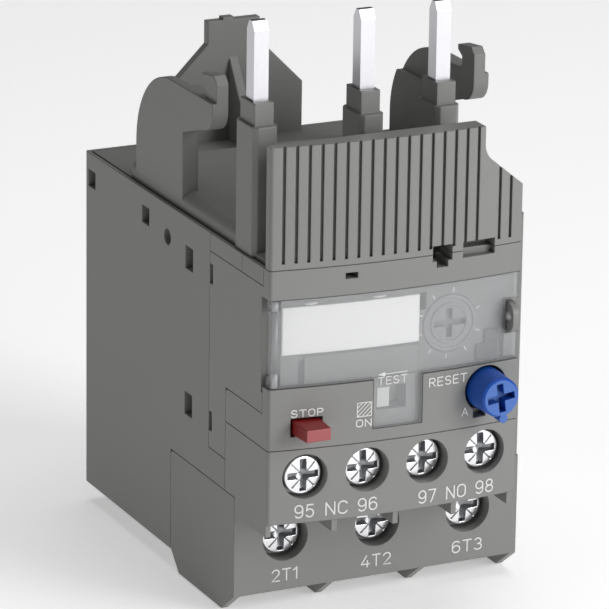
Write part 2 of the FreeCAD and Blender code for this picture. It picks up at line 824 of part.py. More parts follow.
def build_rear_housing():
    """The main shell: an open-topped box that steps forward over the lower terminal block."""
    body = new_body("rear_housing")
    sill = s.tail_base - s.seam
    pad(body, "YZ", [[
        (s.body_depth, 0), (s.body_depth, s.body_height), (module_plane, s.body_height),
        (module_plane, sill), (shelf_plane, sill), (shelf_plane, housing_floor),
        (block_plane, housing_floor), (block_plane, 0),
    ]], 0, s.body_width)
    pad(body, "YZ", [box(s.panel_thickness + s.seam, s.shoulder_level + s.seam,
                         module_plane, s.body_height)], 0, s.wall)
    pad(body, "YZ", [box(s.block_front, housing_floor, module_plane, s.body_height)],
        side_left, s.body_width)
    back = s.body_depth - s.wall
    above = s.body_height + s.overcut
    pocket(body, "YZ", [[
        (back, s.wall), (back, above), (module_plane - s.overcut, above),
        (module_plane - s.overcut, chamber_sill),
        (module_plane + s.wall, chamber_sill), (module_plane + s.wall, chamber_floor),
        (block_plane + s.wall, chamber_floor), (block_plane + s.wall, s.wall),
    ]], s.wall, s.body_width - s.wall)
    pocket(body, "YZ", [box(s.block_front + s.wall, chamber_floor, module_plane, above)],
           side_left + s.wall, s.body_width - s.wall)
    # ledge that the top housing drops onto
    inner = s.body_width - s.rim_wall
    pocket(body, "XY", [[
        (s.rim_wall, 0), (side_left, 0), (side_left, s.block_front + s.rim_wall),
        (inner, s.block_front + s.rim_wall), (inner, s.body_depth - s.rim_wall),
        (s.rim_wall, s.body_depth - s.rim_wall),
    ]], lid_low, s.body_height + s.overcut)
    # walls between the three phases, and posts under the contact rail
    for left in (phase_x[0], phase_x[1]):
        centre = left + s.main_pitch / 2
        pad(body, "XY", [box(centre - s.rib_wall / 2, s.strip_y, centre + s.rib_wall / 2, back)],
            s.wall, s.slide_low - s.slide_play)
    rail_right = s.lever_x - s.lever_arm_width / 2 - s.slide_play
    for post in (s.rail_left + s.post_first, rail_right - s.post_last):
        pad(body, "XY", [box(post, s.rail_y, post + s.rib_wall, s.rail_y + s.rail_depth)],
            chamber_floor, s.rail_low - s.slide_play)
    for x in phase_x:
        pocket(body, "XZ", [box(x - s.bar_width / 2 - s.pin_play, s.bar_level - s.pin_play,
                                x + s.bar_width / 2 + s.pin_play,
                                s.bar_level + s.bar_thickness + s.pin_play)],
               block_plane, block_plane + s.wall)
    # latch windows and peg holes through both sides
    square = s.latch_window
    tall = s.latch_window_tall
    pocket(body, "YZ", [
        centred_box(s.latch_rear_y, s.latch_upper_z, square, square),
        centred_box(s.latch_middle_y, s.latch_upper_z, square, square),
        centred_box(s.latch_front_y, s.latch_front_z, square, tall),
        centred_box(s.latch_front_y, s.latch_lower_z, square, tall),
        Circle(s.peg_hole_y, s.peg_hole_z, s.peg_hole_r),
    ], 0, s.body_width)
    # joint lines across the strip above the front module
    pocket(body, "YZ", [
        box(module_plane - s.seam, s.shoulder_level, module_plane, s.body_height + s.overcut),
        box(s.strip_joint_y, s.shoulder_level, s.strip_joint_y + s.seam,
            s.body_height + s.overcut),
    ], 0, s.seam_groove)
    corners = edges_along(body, "Z", [(0, s.body_depth), (s.body_width, s.body_depth),
                                      (s.body_width, s.block_front)])
    dress(body, "Fillet", corners, s.corner_round)


def hook_outline():
    """Side view of one hook: a rounded back, a flat nose and an upright finger."""
    finger_back = s.hook_front + s.finger_width
    lip_back = finger_back + s.finger_lip
    r = s.hook_round
    chin = s.hook_chin_r
    return [
        (s.hook_throat, lid_low + s.lid_sink), (s.hook_back, lid_low + s.lid_sink),
        (s.hook_back, s.hook_level - r), Bow(s.hook_back - r, s.hook_level - r, r),
        (s.hook_back - r, s.hook_level), (finger_back, s.hook_level),
        (finger_back, s.finger_level - s.finger_lip_low),
        (lip_back, s.finger_level - s.finger_lip_mid),
        (lip_back, s.finger_level - s.finger_lip_high),
        (s.hook_front + s.finger_chamfer, s.finger_level),
        (s.hook_front, s.finger_level - s.finger_chamfer), (s.hook_front, s.hook_chin_level + chin),
        Bow(s.hook_front + chin, s.hook_chin_level + chin, chin),
        (s.hook_front + chin, s.hook_chin_level), (s.hook_throat, s.hook_throat_level),
    ]


def build_top_housing():
    """The lid with the contactor interface: two hooks, the rear tower and three columns."""
    body = new_body("top_housing", middle)
    half = middle - s.rim_wall - s.lid_gap
    step_x = s.panel_width - middle
    step_y = s.block_front + s.rim_wall + s.lid_gap
    lid_back = s.body_depth - s.rim_wall - s.lid_gap
    pad(body, "XY", [[
        (-half, s.lid_front), (step_x, s.lid_front), (step_x, step_y), (half, step_y),
        (half, lid_back), (-half, lid_back),
    ]], lid_low, s.body_height)
    pad(body, "XY", [[
        (-half, s.lid_front), (step_x, s.lid_front), (step_x, step_y), (half, step_y),
        (half, s.deck_back), (-half, s.deck_back),
    ]], s.body_height, lid_top)
    pad(body, "XY", [box(-half, s.deck_front, half, s.deck_back)], lid_top, s.deck_level)
    long_edges = edges_along(body, "Y", [(-half, s.deck_level), (half, s.deck_level)])
    dress(body, "Fillet", long_edges, s.deck_round)
    # hooks
    outer = s.hook_inset - middle
    inner = outer + s.hook_thickness
    finger_back = s.hook_front + s.finger_width
    hook = pad(body, "YZ", [hook_outline()], outer, inner)
    ledge = pocket(body, "YZ", [box(s.hook_throat, s.hook_ledge_level, s.hook_back + s.overcut,
                                    s.hook_level + s.overcut)], inner - s.hook_step, inner)
    step = pocket(body, "YZ", [box(s.hook_front - s.overcut, s.hook_level,
                                  finger_back + s.finger_lip + s.overcut,
                                   s.finger_level + s.overcut)], outer, outer + s.finger_step)
    mirror(body, [hook, ledge, step], True)
    # tower with its gusset
    wide = s.tower_half_width
    narrow = s.tower_half_top
    shoulder = s.tower_corner_level + wide - narrow
    tab = s.tower_level + s.tower_tab_height
    pad(body, "XZ", [[
        (-wide, s.body_height), (wide, s.body_height), (wide, s.tower_corner_level),
        (narrow, shoulder),
        (narrow, s.tower_level), (0, s.tower_level), (0, tab), (-s.tower_tab_width, tab),
        (-s.tower_tab_width, s.tower_level), (-narrow, s.tower_level), (-narrow, shoulder),
        (-wide, s.tower_corner_level),
    ]], s.tower_front, s.tower_front + s.tower_thickness)
    pad(body, "YZ", [[
        (s.tower_front, s.body_height), (s.tower_front, s.gusset_level),
        (s.tower_front - s.gusset_foot, s.body_height),
    ]], -s.gusset_thickness / 2, s.gusset_thickness / 2)
    # columns, collars and the bores and channels for the pins
    columns = []
    collars = []
    bores = []
    channels = []
    for x, phase in zip(pin_x, phase_x):
        x = x - middle
        columns.append(bevelled_box(x, s.pin_y, s.column_width, s.column_depth, s.column_bevel))
        collars.append(centred_box(x, s.pin_y, s.collar_width, s.collar_depth))
        bores.append(centred_box(x, s.pin_y, s.pin_width + s.pin_play * 2,
                                 s.pin_depth + s.pin_play * 2))
        channels.append(conductor_outline(x, s.pin_y, phase - middle, s.pin_play))
    pad(body, "XY", columns, s.body_height + s.column_lift, s.column_level)
    pad(body, "XY", collars, s.column_level, s.collar_level)
    pocket(body, "XY", bores, lid_low, s.collar_level)
    pocket(body, "XY", channels, lid_low, s.conductor_level + s.conductor + s.pin_play)


def conductor_outline(x, y, end_x, play):
    """Plan of the flat conductor from a pin back to its bimetal strip, grown by play."""
    half = s.pin_width / 2 + play
    front = y - s.pin_depth / 2 - play
    turn = s.strip_y + 1 - play
    back = turn + s.pin_width + play * 2
    return [
        (x - half, front), (x + half, front), (x + half, turn), (end_x + half, turn),
        (end_x + half, back), (x - half, back),
    ]


def build_ribbed_cover():
    """The upright grille in front of the pins, drawn about the centre of the bowed front."""
    body = new_body("ribbed_cover", middle, arc_y)
    left = -middle
    right = s.panel_width - middle
    base = s.body_height + s.seam
    back = s.cover_back - arc_y

    def bow_y(x):
        return -root(arc_r * arc_r - x * x)

    pad(body, "XY", [[
        (left, bow_y(left)), Bow(0, 0, arc_r), (right, bow_y(right)), (right, back), (left, back),
    ]], base, s.cover_top)
    dress(body, "Fillet", edges_along(body, "Z", [(left, bow_y(left))]), s.corner_round)
    # grooves between the ribs fan out from the centre of the bow
    rib_pitch = s.panel_width / s.rib_count
    first = (left + rib_pitch) / arc_r
    pitch_angle = rib_pitch / arc_r * 57.29578
    start_angle = (first + first * first * first / 6) * 57.29578
    half = s.groove_width / 2
    groove = pocket(body, "XY", [box(-half, -arc_r - s.overcut, half, s.groove_depth - arc_r)],
                    base + s.groove_foot, s.cover_top, start_angle)
    repeat_round(body, [groove], pitch_angle, s.rib_count - 1, False)
    # the cut-away upper right corner
    cut_left = right - s.cover_cut_width
    inner_level = s.cover_cut_level + s.cover_cut_width * s.cover_cut_slope
    beyond = right + s.overcut
    pocket(body, "XZ", [[
        (cut_left, s.cover_top + s.overcut), (cut_left, inner_level),
        (beyond, s.cover_cut_level - s.cover_cut_slope), (beyond, s.cover_top + s.overcut),
    ]], -arc_r - s.overcut, back)
    corner = edges_along(body, "Y", [(cut_left, inner_level)])
    dress(body, "Fillet", corner, s.cover_cut_round)
    # two openings over the notches of the front housing
    pocket(body, "XZ", [
        box(s.notch_left - middle, base - s.overcut, s.notch_left + s.notch_width - middle,
            base + s.notch_rise),
        box(s.pocket_left - middle, base - s.overcut, s.pocket_left + s.pocket_width - middle,
            base + s.notch_rise),
    ], -arc_r - s.overcut, back)


def build_front_housing():
    """The module behind the window: label recess, dial bore, name band and a hanging tail."""
    body = new_body("front_housing")
    pad(body, "XY", [bowed_block(0, s.panel_width, s.module_depth)],
        s.window_base, s.shoulder_level)
    pad(body, "XY", [bowed_block(0, s.panel_width, s.panel_thickness)],
        s.shoulder_level, s.body_height)
    step = s.step_level + s.seam
    pad(body, "YZ", [[
        (s.panel_thickness + s.seam, s.window_base), (s.panel_thickness + s.seam, step),
        (shelf_plane, step), (shelf_plane, s.tail_base), (s.module_depth, s.tail_base),
        (s.module_depth, s.window_base),
    ]], 0, s.panel_width)
    # hollow back, and the bay behind the control panel
    inner_wall = shelf_plane + s.tail_wall
    hollow = s.tail_base + s.wall
    floor = s.window_base + s.wall
    pocket(body, "YZ", [[
        (s.module_depth + s.overcut, hollow), (inner_wall, hollow), (inner_wall, floor),
        (s.panel_thickness * 2, floor), (s.panel_thickness * 2, s.window_top),
        (s.module_depth + s.overcut, s.window_top),
    ]], s.wall, bay_right)
    pocket(body, "YZ", [box(s.panel_thickness + s.seam, s.step_level, shelf_plane, bay_top)],
           s.wall, bay_right)
    # recessed floor behind the window, with a gap for the hinge at the left
    front = -s.front_bulge - s.overcut
    floor_cut = [
        (-s.overcut, front), (s.panel_width + s.overcut, front),
        (s.panel_width + s.overcut, front_y(s.panel_width + s.overcut, s.recess_depth)),
        Bow(middle, arc_y, arc_r - s.recess_depth),
        (-s.overcut, front_y(-s.overcut, s.recess_depth)),
    ]
    pocket(body, "XY", [floor_cut], s.window_base - s.overcut, s.window_top)
    pocket(body, "XY", [box(-s.overcut, front, s.window_relief, s.hinge_y + s.knuckle_r + s.hinge_room)],
           s.window_base - s.overcut, s.window_top)
    pad(body, "XY", [Circle(s.hinge_x, s.hinge_y, s.hinge_pin_r)],
        s.window_top - s.knuckle_height, s.window_top)
    # low step under the label
    pad(body, "XY", [bowed_sheet(s.ledge_left, s.label_left + s.label_width,
                                 s.recess_depth - s.ledge_thickness, s.ledge_thickness)],
        s.window_base, s.label_base - s.ledge_gap)
    # shallow pockets in that floor: beside the label, by the lower hinge and at the right
    right_low = s.window_base + s.nook_step
    nook = s.lug_x - s.nook_inset
    pocket(body, "XZ", [
        box(s.dial_x - s.slit_offset, s.dial_z + s.slit_rise,
            s.dial_x - s.slit_offset + s.slit_width, s.label_base + s.label_height),
        box(s.window_relief, s.window_base - s.overcut, s.window_relief + s.slit_width,
            s.window_base + s.knuckle_height + s.slit_width / 2),
        [(nook - s.nook_step, s.window_base - s.overcut),
         (nook + s.nook_width, s.window_base - s.overcut),
         (nook + s.nook_width, s.window_base + s.nook_height),
         (nook, s.window_base + s.nook_height), (nook, right_low),
         (nook - s.nook_step, right_low)],
    ], front, s.slit_depth)
    # dial bore
    pocket(body, "XZ", [Circle(s.dial_x, s.dial_z, s.dial_r + s.hinge_play)],
           front, s.panel_thickness * 2)
    # sealing lug that stands through the window
    lug_top = s.lug_level + s.lug_height
    lug_back = s.panel_thickness
    r = s.lug_nose
    pad(body, "YZ", [
        [(-s.lug_reach + r, s.lug_level), (lug_back, s.lug_level), (lug_back, lug_top),
         (-s.lug_reach + r, lug_top), Bow(-s.lug_reach + r, lug_top - r, r),
         (-s.lug_reach, lug_top - r), (-s.lug_reach, s.lug_level + r),
         Bow(-s.lug_reach + r, s.lug_level + r, r)],
    ], s.lug_x, s.lug_x + s.lug_thickness)
    pocket(body, "YZ", [Circle(-s.lug_reach / 2, s.lug_level + s.lug_height / 2, s.lug_hole_r)],
           s.lug_x, s.lug_x + s.lug_thickness)
    round_left_corner(body)
    # notches in the name band
    stem_left = s.notch_left + (s.notch_width - s.notch_stem) / 2
    low = s.body_height - s.notch_depth
    pocket(body, "XZ", [[
        (s.notch_left, s.body_height + s.overcut), (s.notch_left, low), (stem_left, low),
        (stem_left, low - s.notch_stem_depth), (stem_left + s.notch_stem, low - s.notch_stem_depth),
        (stem_left + s.notch_stem, low), (s.notch_left + s.notch_width, low),
        (s.notch_left + s.notch_width, s.body_height + s.overcut),
    ], box(s.keyhole_left, s.keyhole_level, s.keyhole_left + s.keyhole_width,
           s.keyhole_level + s.keyhole_height)], front, s.panel_thickness)
    pocket(body, "XZ", [box(s.pocket_left, low, s.pocket_left + s.pocket_width,
                            s.body_height + s.overcut)], front, s.pocket_floor - s.front_bulge)
    # ways through the tail for the signal terminals, and latch slots at the side seam
    play = s.pin_play * 3
    slot = pocket(body, "XZ", [box(
        aux_x[0] - s.aux_strip_width / 2 - play, s.aux_tail_low - play,
        aux_x[0] + s.aux_strip_width / 2 + play, s.aux_tail_low + s.aux_strip + play)],
        shelf_plane, inner_wall)
    repeat(body, [slot], "X_Axis", s.aux_pitch, len(SIGNALS), False)
    for level in (s.latch_front_z, s.latch_lower_z):
        pocket(body, "YZ", [box(s.module_depth - s.latch_slot_width, level - s.latch_slot / 2,
                                s.module_depth + s.overcut, level + s.latch_slot / 2)], 0, s.wall)


def build_control_panel():
    """The wall with the stop, test and reset openings, and a tab down each side."""
    body = new_body("control_panel")
    top = s.window_base - s.seam
    front = -s.front_bulge - s.overcut
    pad(body, "XY", [bowed_block(0, s.panel_width, s.panel_thickness)], s.panel_base, top)
    tab = [
        (s.panel_thickness, s.panel_base), (s.shelf_depth, s.panel_base),
        (s.shelf_depth, s.step_level - s.seam_notch),
        (s.shelf_depth - s.seam_notch, s.step_level), (s.panel_thickness, s.step_level),
    ]
    pad(body, "YZ", [tab], 0, s.wall)
    pad(body, "YZ", [tab], bay_right, s.panel_width)
    pad(body, "XY", [Circle(s.hinge_x, s.hinge_y, s.hinge_pin_r)], top,
        s.window_base + s.knuckle_height)
    # seat for the window's tongue
    seat_inset = s.window_thickness + s.window_gap
    seat_left = s.tongue_left - s.seam
    seat_right = s.tongue_left + s.tongue_width + s.seam
    pocket(body, "XY", [[
        (seat_left, front), (seat_right, front), (seat_right, front_y(seat_right, seat_inset)),
        Bow(middle, arc_y, arc_r - seat_inset), (seat_left, front_y(seat_left, seat_inset)),
    ]], s.tongue_base - s.seam, top + s.overcut)
    # openings
    play = s.button_play
    test_left = s.test_left - play
    pocket(body, "XZ", [
        centred_box(s.stop_x, s.stop_z, s.stop_width + play * 2, s.stop_height + play * 2),
        Circle(s.reset_x, s.reset_z, s.reset_r + play),
        box(test_left, s.test_base - play, test_left + s.test_width + s.test_travel + play * 2,
            s.test_base + s.test_height + play),
    ], front, s.panel_thickness)
    pocket(body, "XZ", [box(s.reset_x - s.reset_relief_width, s.reset_z - s.reset_relief_drop,
                            s.reset_x, s.reset_z - s.reset_r / 2)], front, 0)
    round_left_corner(body)


def build_aux_terminal_block():
    """Four signal terminals in a row, with fins between the wires below."""
    body = new_body("aux_terminal_block")
    front = -s.front_bulge - s.overcut
    top = s.panel_base - s.seam
    pad(body, "XY", [bowed_block(0, s.panel_width, s.shelf_depth)], housing_floor, top)
    pad(body, "XY", [bowed_block(0, s.panel_width, s.block_front - s.seam)],
        s.aux_base, housing_floor)
    fin_back = s.block_front - s.seam
    for step in range(len(SIGNALS) + 1):
        centre = s.aux_first_x + s.aux_pitch * (step - 0.5)
        left = centre - s.aux_fin / 2
        if step == 0:
            left = as_size(0)
        pad(body, "XY", [box(left, front_y(left) + s.groove_depth, left + s.aux_fin, fin_back)],
            s.aux_low, s.aux_base)
    round_left_corner(body)
    bay = pocket(body, "XY", [box(
        aux_x[0] - s.aux_bay_half, s.aux_bay_front, aux_x[0] + s.aux_bay_half, s.aux_bay_back)],
        s.aux_base, s.aux_bay_top)
    repeat(body, [bay], "X_Axis", s.aux_pitch, len(SIGNALS), False)
    hole = pocket(body, "XZ", [Circle(aux_x[0], s.aux_z, s.aux_hole_r)], front, s.aux_bay_front)
    repeat(body, [hole], "X_Axis", s.aux_pitch, len(SIGNALS), False)
    well_width = (s.aux_shank_r + s.button_play) * 2
    well = pocket(body, "XZ", [centred_box(aux_x[0], s.aux_z, well_width, well_width)],
                  s.aux_bay_back, s.aux_screw_end + s.aux_travel + s.button_play)
    repeat(body, [well], "X_Axis", s.aux_pitch, len(SIGNALS), False)
    play = s.pin_play * 3
    slot = pocket(body, "XZ", [box(
        aux_x[0] - s.aux_strip_width / 2 - play, s.aux_tail_low - play,
        aux_x[0] + s.aux_strip_width / 2 + play, s.aux_tail_low + s.aux_strip + play)],
        s.aux_bay_back, s.shelf_depth)
    repeat(body, [slot], "X_Axis", s.aux_pitch, len(SIGNALS), False)


def build_main_terminal_block():
    """The lower block with three cable bays, open below between pointed feet."""
    body = new_body("main_terminal_block")
    pad(body, "YZ", [[
        (s.block_front, s.block_base), (s.block_back, s.block_base),
        (s.block_back, s.block_top - s.seam_notch), (s.block_back - s.seam_notch, s.block_top),
        (s.block_front, s.block_top),
    ]], 0, s.body_width)
    foot = [
        (s.block_front, s.block_base), (s.foot_front, -s.foot_drop),
        (s.foot_back, -s.foot_drop), (s.block_back, s.block_base),
    ]
    for left in (as_size(0), phase_x[0] + s.main_pitch / 2 - s.foot_width / 2,
                 phase_x[1] + s.main_pitch / 2 - s.foot_width / 2, s.body_width - s.foot_width):
        pad(body, "YZ", [foot], left, left + s.foot_width)
    bay_back = s.block_back - s.wall
    bay = pocket(body, "XY", [box(phase_x[0] - s.main_bay_half, s.main_bay_front,
                                  phase_x[0] + s.main_bay_half, bay_back)],
                 s.block_base, s.main_bay_top)
    repeat(body, [bay], "X_Axis", s.main_pitch, len(PHASES), False)
    hole = pocket(body, "XZ", [Circle(phase_x[0], s.main_z, s.main_hole_r)],
                  s.block_front, s.main_bay_front)
    repeat(body, [hole], "X_Axis", s.main_pitch, len(PHASES), False)
    slot = pocket(body, "XZ", [box(
        phase_x[0] - s.bar_width / 2 - s.pin_play, s.bar_level - s.pin_play,
        phase_x[0] + s.bar_width / 2 + s.pin_play, s.bar_level + s.bar_thickness + s.pin_play)],
        bay_back, s.block_back)
    repeat(body, [slot], "X_Axis", s.main_pitch, len(PHASES), False)


# ---------------------------------------------------------------- window, label and dial

def build_window_cover():
    """The clear cover: a bowed sheet with a tongue over the test slider and two knuckles."""
    body = new_body("window_cover")
    base = s.window_base + s.seam
    top = s.window_top - s.seam
    pad(body, "XY", [bowed_sheet(s.hinge_x - s.knuckle_r + s.seam, s.panel_width, as_size(0),
                                 s.window_thickness)], base, top)
    pad(body, "XY", [bowed_sheet(s.tongue_left, s.tongue_left + s.tongue_width, as_size(0),
                                 s.window_thickness)], s.tongue_base, base)
    knuckle = Circle(s.hinge_x, s.hinge_y, s.knuckle_r)
    pad(body, "XY", [knuckle], base, base + s.knuckle_height)
    pad(body, "XY", [knuckle], top - s.knuckle_height, top)
    bore = Circle(s.hinge_x, s.hinge_y, s.hinge_pin_r + s.hinge_play)
    pocket(body, "XY", [bore], base, top)
    pocket(body, "XZ", [box(s.lug_x - s.window_gap * 2, s.lug_level - s.window_gap * 2,
                            s.panel_width + s.overcut, s.lug_level + s.lug_height + s.window_gap * 2)],
           -s.front_bulge - s.overcut, s.panel_thickness)


def build_label_plate():
    """The blank write-on label, bowed like the floor that it lies on."""
    body = new_body("label_plate")
    pad(body, "XY", [bowed_sheet(s.label_left, s.label_left + s.label_width,
                                 s.recess_depth - s.label_thickness, s.label_thickness)],
        s.label_base, s.label_base + s.label_height)


def cross(length_a, length_b, width):
    """A cross of two slots about the sketch origin."""
    a = length_a / 2
    b = length_b / 2
    w = width / 2
    return [
        (-a, -w), (-w, -w), (-w, -b), (w, -b), (w, -w), (a, -w),
        (a, w), (w, w), (w, b), (-w, b), (-w, w), (-a, w),
    ]


def build_setting_dial():
    """The current-setting dial with its shaft and eccentric cam."""
    front = front_y(s.dial_x, s.recess_depth)
    body = new_body("setting_dial", s.dial_x, front, s.dial_z)
    pad(body, "XZ", [Circle(0, 0, s.dial_r)], 0, s.dial_length)
    pocket(body, "XZ", [cross(s.dial_slot_length, s.dial_slot_short, s.dial_slot_width)],
           0, s.dial_slot_depth)
    cam_start = s.module_depth - front - s.dial_cam_width * 2
    pad(body, "XZ", [centred_box(as_size(0), as_size(0), s.dial_shaft, s.dial_shaft)],
        s.dial_length, cam_start)
    pad(body, "XZ", [Circle(0, s.dial_cam_offset, s.dial_cam_r)],
        cam_start, cam_start + s.dial_cam_width)


# ---------------------------------------------------------------- buttons and slider

def build_stop_button():
    """The red stop button: a block, a flange behind the panel and a stem in its spring."""
    body = new_body("stop_button", s.stop_x, 0.0, s.stop_z)
    flange_front = s.panel_thickness + s.seam
    flange_back = flange_front + s.button_flange_thickness
    head = body.newObject("PartDesign::Pad", "Pad")
    head.Profile = new_sketch(body, "XZ", flange_front, [
        centred_box(as_size(0), as_size(0), s.stop_width, s.stop_height)])
    head.Length = (flange_front + s.stop_reach).value
    bind(head, "Length", flange_front + s.stop_reach)
    head.TaperAngle = -s.stop_taper.value
    bind(head, "TaperAngle", -s.stop_taper)
    finish(body, head, True)
    pad(body, "XZ", [centred_box(as_size(0), as_size(0), s.stop_width + s.button_flange * 2,
                                 s.stop_height + s.button_flange * 2)],
        flange_front, flange_back)
    pad(body, "XZ", [centred_box(as_size(0), as_size(0), s.stop_stem, s.stop_stem)],
        flange_back, s.shelf_depth - s.stop_travel - s.button_play)
    coil("stop_spring", s.stop_x, s.stop_z, flange_back, shelf_plane,
         s.stem_r + s.spring_wire + s.spring_play)


def build_reset_knob():
    """The blue reset knob, turned on a sprung plunger between hand and automatic reset."""
    flange_front = s.panel_thickness + s.seam
    flange_back = flange_front + s.button_flange_thickness
    bore_end = s.reset_slot_depth - s.reset_reach + s.wall
    shaft_r = s.stem_r * 1.5
    knob = new_body(
        "reset_knob", s.reset_x, 0.0, s.reset_z, Vector(0, 1, 0), -s.reset_rest_turn)
    edge = s.reset_edge
    revolve(knob, [
        (-s.reset_reach, 0), (-s.reset_reach, s.reset_front_r - edge),
        (edge - s.reset_reach, s.reset_front_r), (flange_front, s.reset_r),
        (flange_front, shaft_r + s.shaft_play),
        (bore_end, shaft_r + s.shaft_play), (bore_end, 0),
    ])
    pad(knob, "XZ", [Circle(0, -s.reset_nub_place, s.reset_nub)],
        -s.reset_reach, s.reset_nub_length - s.reset_reach)
    pocket(knob, "XZ", [cross(s.reset_slot_length, s.reset_slot_length, s.reset_slot_width)],
           -s.reset_reach, s.reset_slot_depth - s.reset_reach)
    plunger = new_body("reset_plunger", s.reset_x, 0.0, s.reset_z)
    flange_r = s.reset_r + s.reset_flange
    stem_end = s.shelf_depth - s.reset_travel - s.button_play
    revolve(plunger, [
        (bore_end + s.seam, 0), (bore_end + s.seam, shaft_r), (flange_front + s.seam, shaft_r),
        (flange_front + s.seam, flange_r), (flange_back, flange_r), (flange_back, s.stem_r),
        (stem_end, s.stem_r), (stem_end, 0),
    ])
    coil("reset_spring", s.reset_x, s.reset_z, flange_back, shelf_plane,
         s.stem_r + s.spring_wire + s.spring_play)


def build_test_slider():
    """The white test slider: a thumb in the window and a carrier plate behind the wall."""
    body = new_body("test_slider")
    carrier_front = s.panel_thickness + s.seam
    overlap = s.test_travel + s.button_play * 2
    right = s.test_left + s.test_width
    top = s.test_base + s.test_height
    thumb_front = front_y(s.test_left, s.recess_depth)
    pad(body, "XZ", [box(s.test_left, s.test_base, right, top)], thumb_front, carrier_front)
    pad(body, "XZ", [box(s.test_left - overlap, s.test_base - s.test_carrier, right + overlap,
                         top + s.test_carrier)], carrier_front, carrier_front + s.test_carrier)


# ---------------------------------------------------------------- terminals

def build_aux_terminals():
    """Screw, clamp plate and contact strip of each signal terminal."""
    for name, x in zip(SIGNALS, aux_x):
        head_back = s.aux_screw_front + s.aux_head_height
        clamp_front = head_back + s.seam
        screw = new_body(f"aux_screw_{name}", x, s.aux_screw_front, s.aux_z)
        pad(screw, "XZ", [Circle(0, 0, s.aux_head_r)], 0, s.aux_head_height)
        pad(screw, "XZ", [Circle(0, 0, s.aux_shank_r)], s.aux_head_height,
            s.aux_screw_end - s.aux_screw_front)
        clamp = new_body(f"aux_clamp_{name}", x, clamp_front, s.aux_z)
        opening = (s.aux_shank_r + s.shaft_play) * 2
        pad(clamp, "XZ", [
            centred_box(as_size(0), as_size(0), s.aux_clamp_size, s.aux_clamp_size),
            centred_box(as_size(0), as_size(0), opening, opening),
        ], 0, s.aux_clamp_thickness)
        strip = new_body(f"aux_terminal_{name}", x)
        low = s.aux_tail_low
        high = s.aux_tail_high
        half = s.aux_clamp_size / 2
        pad(strip, "XZ", [
            box(-half, s.aux_z - half, half, high),
            Circle(0, s.aux_z, s.aux_shank_r + s.shaft_play),
        ], s.aux_strip_y, s.aux_strip_y + s.aux_strip)
        pad(strip, "XY", [box(-s.aux_strip_width / 2, s.aux_strip_y, s.aux_strip_width / 2,
                              s.aux_strip_end)], low, high)
        pad(strip, "YZ", [box(s.aux_strip_end - 2, high, s.aux_strip_end, s.aux_contact_level)],
            -s.aux_strip / 2, s.aux_strip / 2)


def build_main_terminals():
    """Screw, box clamp and terminal bar of each motor terminal."""
    screw_front = s.block_front + s.main_sink
    for number, x in zip(PHASES, phase_x):
        screw = new_body(f"main_screw_{number}", x, screw_front, s.main_z)
        pad(screw, "XZ", [Circle(0, 0, s.main_head_r)], 0, s.main_head_height)
        pad(screw, "XZ", [Circle(0, 0, s.main_shank_r)], s.main_head_height,
            s.bar_front - s.seam - screw_front)
        cage = new_body(f"main_clamp_{number}", x)
        inner = s.cage_half - s.cage_wall
        pad(cage, "XY", [
            box(-s.cage_half, s.cage_front, s.cage_half, s.cage_back),
            box(-inner, s.cage_front + s.cage_nut, inner, s.cage_back - s.cage_wall),
        ], s.cage_low, s.cage_high)
        pocket(cage, "XZ", [Circle(0, s.main_z, s.main_shank_r + s.shaft_play)],
               s.cage_front, s.cage_front + s.cage_nut)
        bar = new_body(f"load_terminal_{number}", x)
        high = s.bar_level + s.bar_thickness
        foot = s.cage_low + s.cage_wall / 2
        pad(bar, "YZ", [[
            (s.bar_front, foot), (s.bar_front + s.bar_thickness, foot),
            (s.bar_front + s.bar_thickness, s.bar_level), (s.bar_end, s.bar_level),
            (s.bar_end, high), (s.bar_front, high),
        ]], -s.bar_width / 2, s.bar_width / 2)


# ---------------------------------------------------------------- current path and trip gear

def build_contact_pins():
    """Bevelled pin, flat conductor and drop leg of each phase."""
    for number, x, phase in zip(PHASES, pin_x, phase_x):
        body = new_body(f"contact_pin_{number}", x)
        front = s.pin_y - s.pin_depth / 2
        back = s.pin_y + s.pin_depth / 2
        bevel = s.pin_bevel_width
        pad(body, "YZ", [[
            (front, s.conductor_level), (back, s.conductor_level),
            (back, s.pin_level - s.pin_bevel), (back - bevel, s.pin_level),
            (front + bevel, s.pin_level), (front, s.pin_level - s.pin_bevel),
        ]], -s.pin_width / 2, s.pin_width / 2)
        end_x = phase - x
        pad(body, "XY", [conductor_outline(0.0, s.pin_y, end_x, 0.0)],
            s.conductor_level, s.conductor_level + s.conductor)
        leg = s.strip_y + 1
        pad(body, "XY", [box(end_x - s.pin_width / 2, leg, end_x + s.pin_width / 2,
                             leg + s.pin_width)],
            s.strip_level + s.slide_play * 2, s.conductor_level)


def build_heating_elements():
    """Bimetal strip and heater winding of each phase."""
    for number, x in zip(PHASES, phase_x):
        strip = new_body(f"bimetal_strip_{number}", x, s.strip_middle_y, s.strip_base)
        section = centred_box(as_size(0), as_size(0), s.strip_thickness, s.strip_depth)
        pad(strip, "XY", [section], 0, s.strip_level - s.strip_base)
        heater = new_body(f"heater_winding_{number}", x, s.strip_middle_y, s.strip_base)
        outer = centred_box(as_size(0), as_size(0), s.strip_thickness + s.winding_wall * 2,
                            s.strip_depth + s.winding_wall * 2)
        turn = pad(heater, "XY", [outer, section], s.winding_turn, s.winding_turn * 2)
        lead = box(s.strip_thickness / 2, -s.winding_wall, s.strip_thickness / 2 + s.winding_wall,
                   s.winding_wall)
        link = pad(heater, "XY", [lead], s.winding_turn * 2, s.winding_turn + s.winding_pitch)
        repeat(heater, [turn, link], "Z_Axis", s.winding_pitch, s.winding_turns, True)
        pad(heater, "XY", [lead], 0, s.winding_turn)


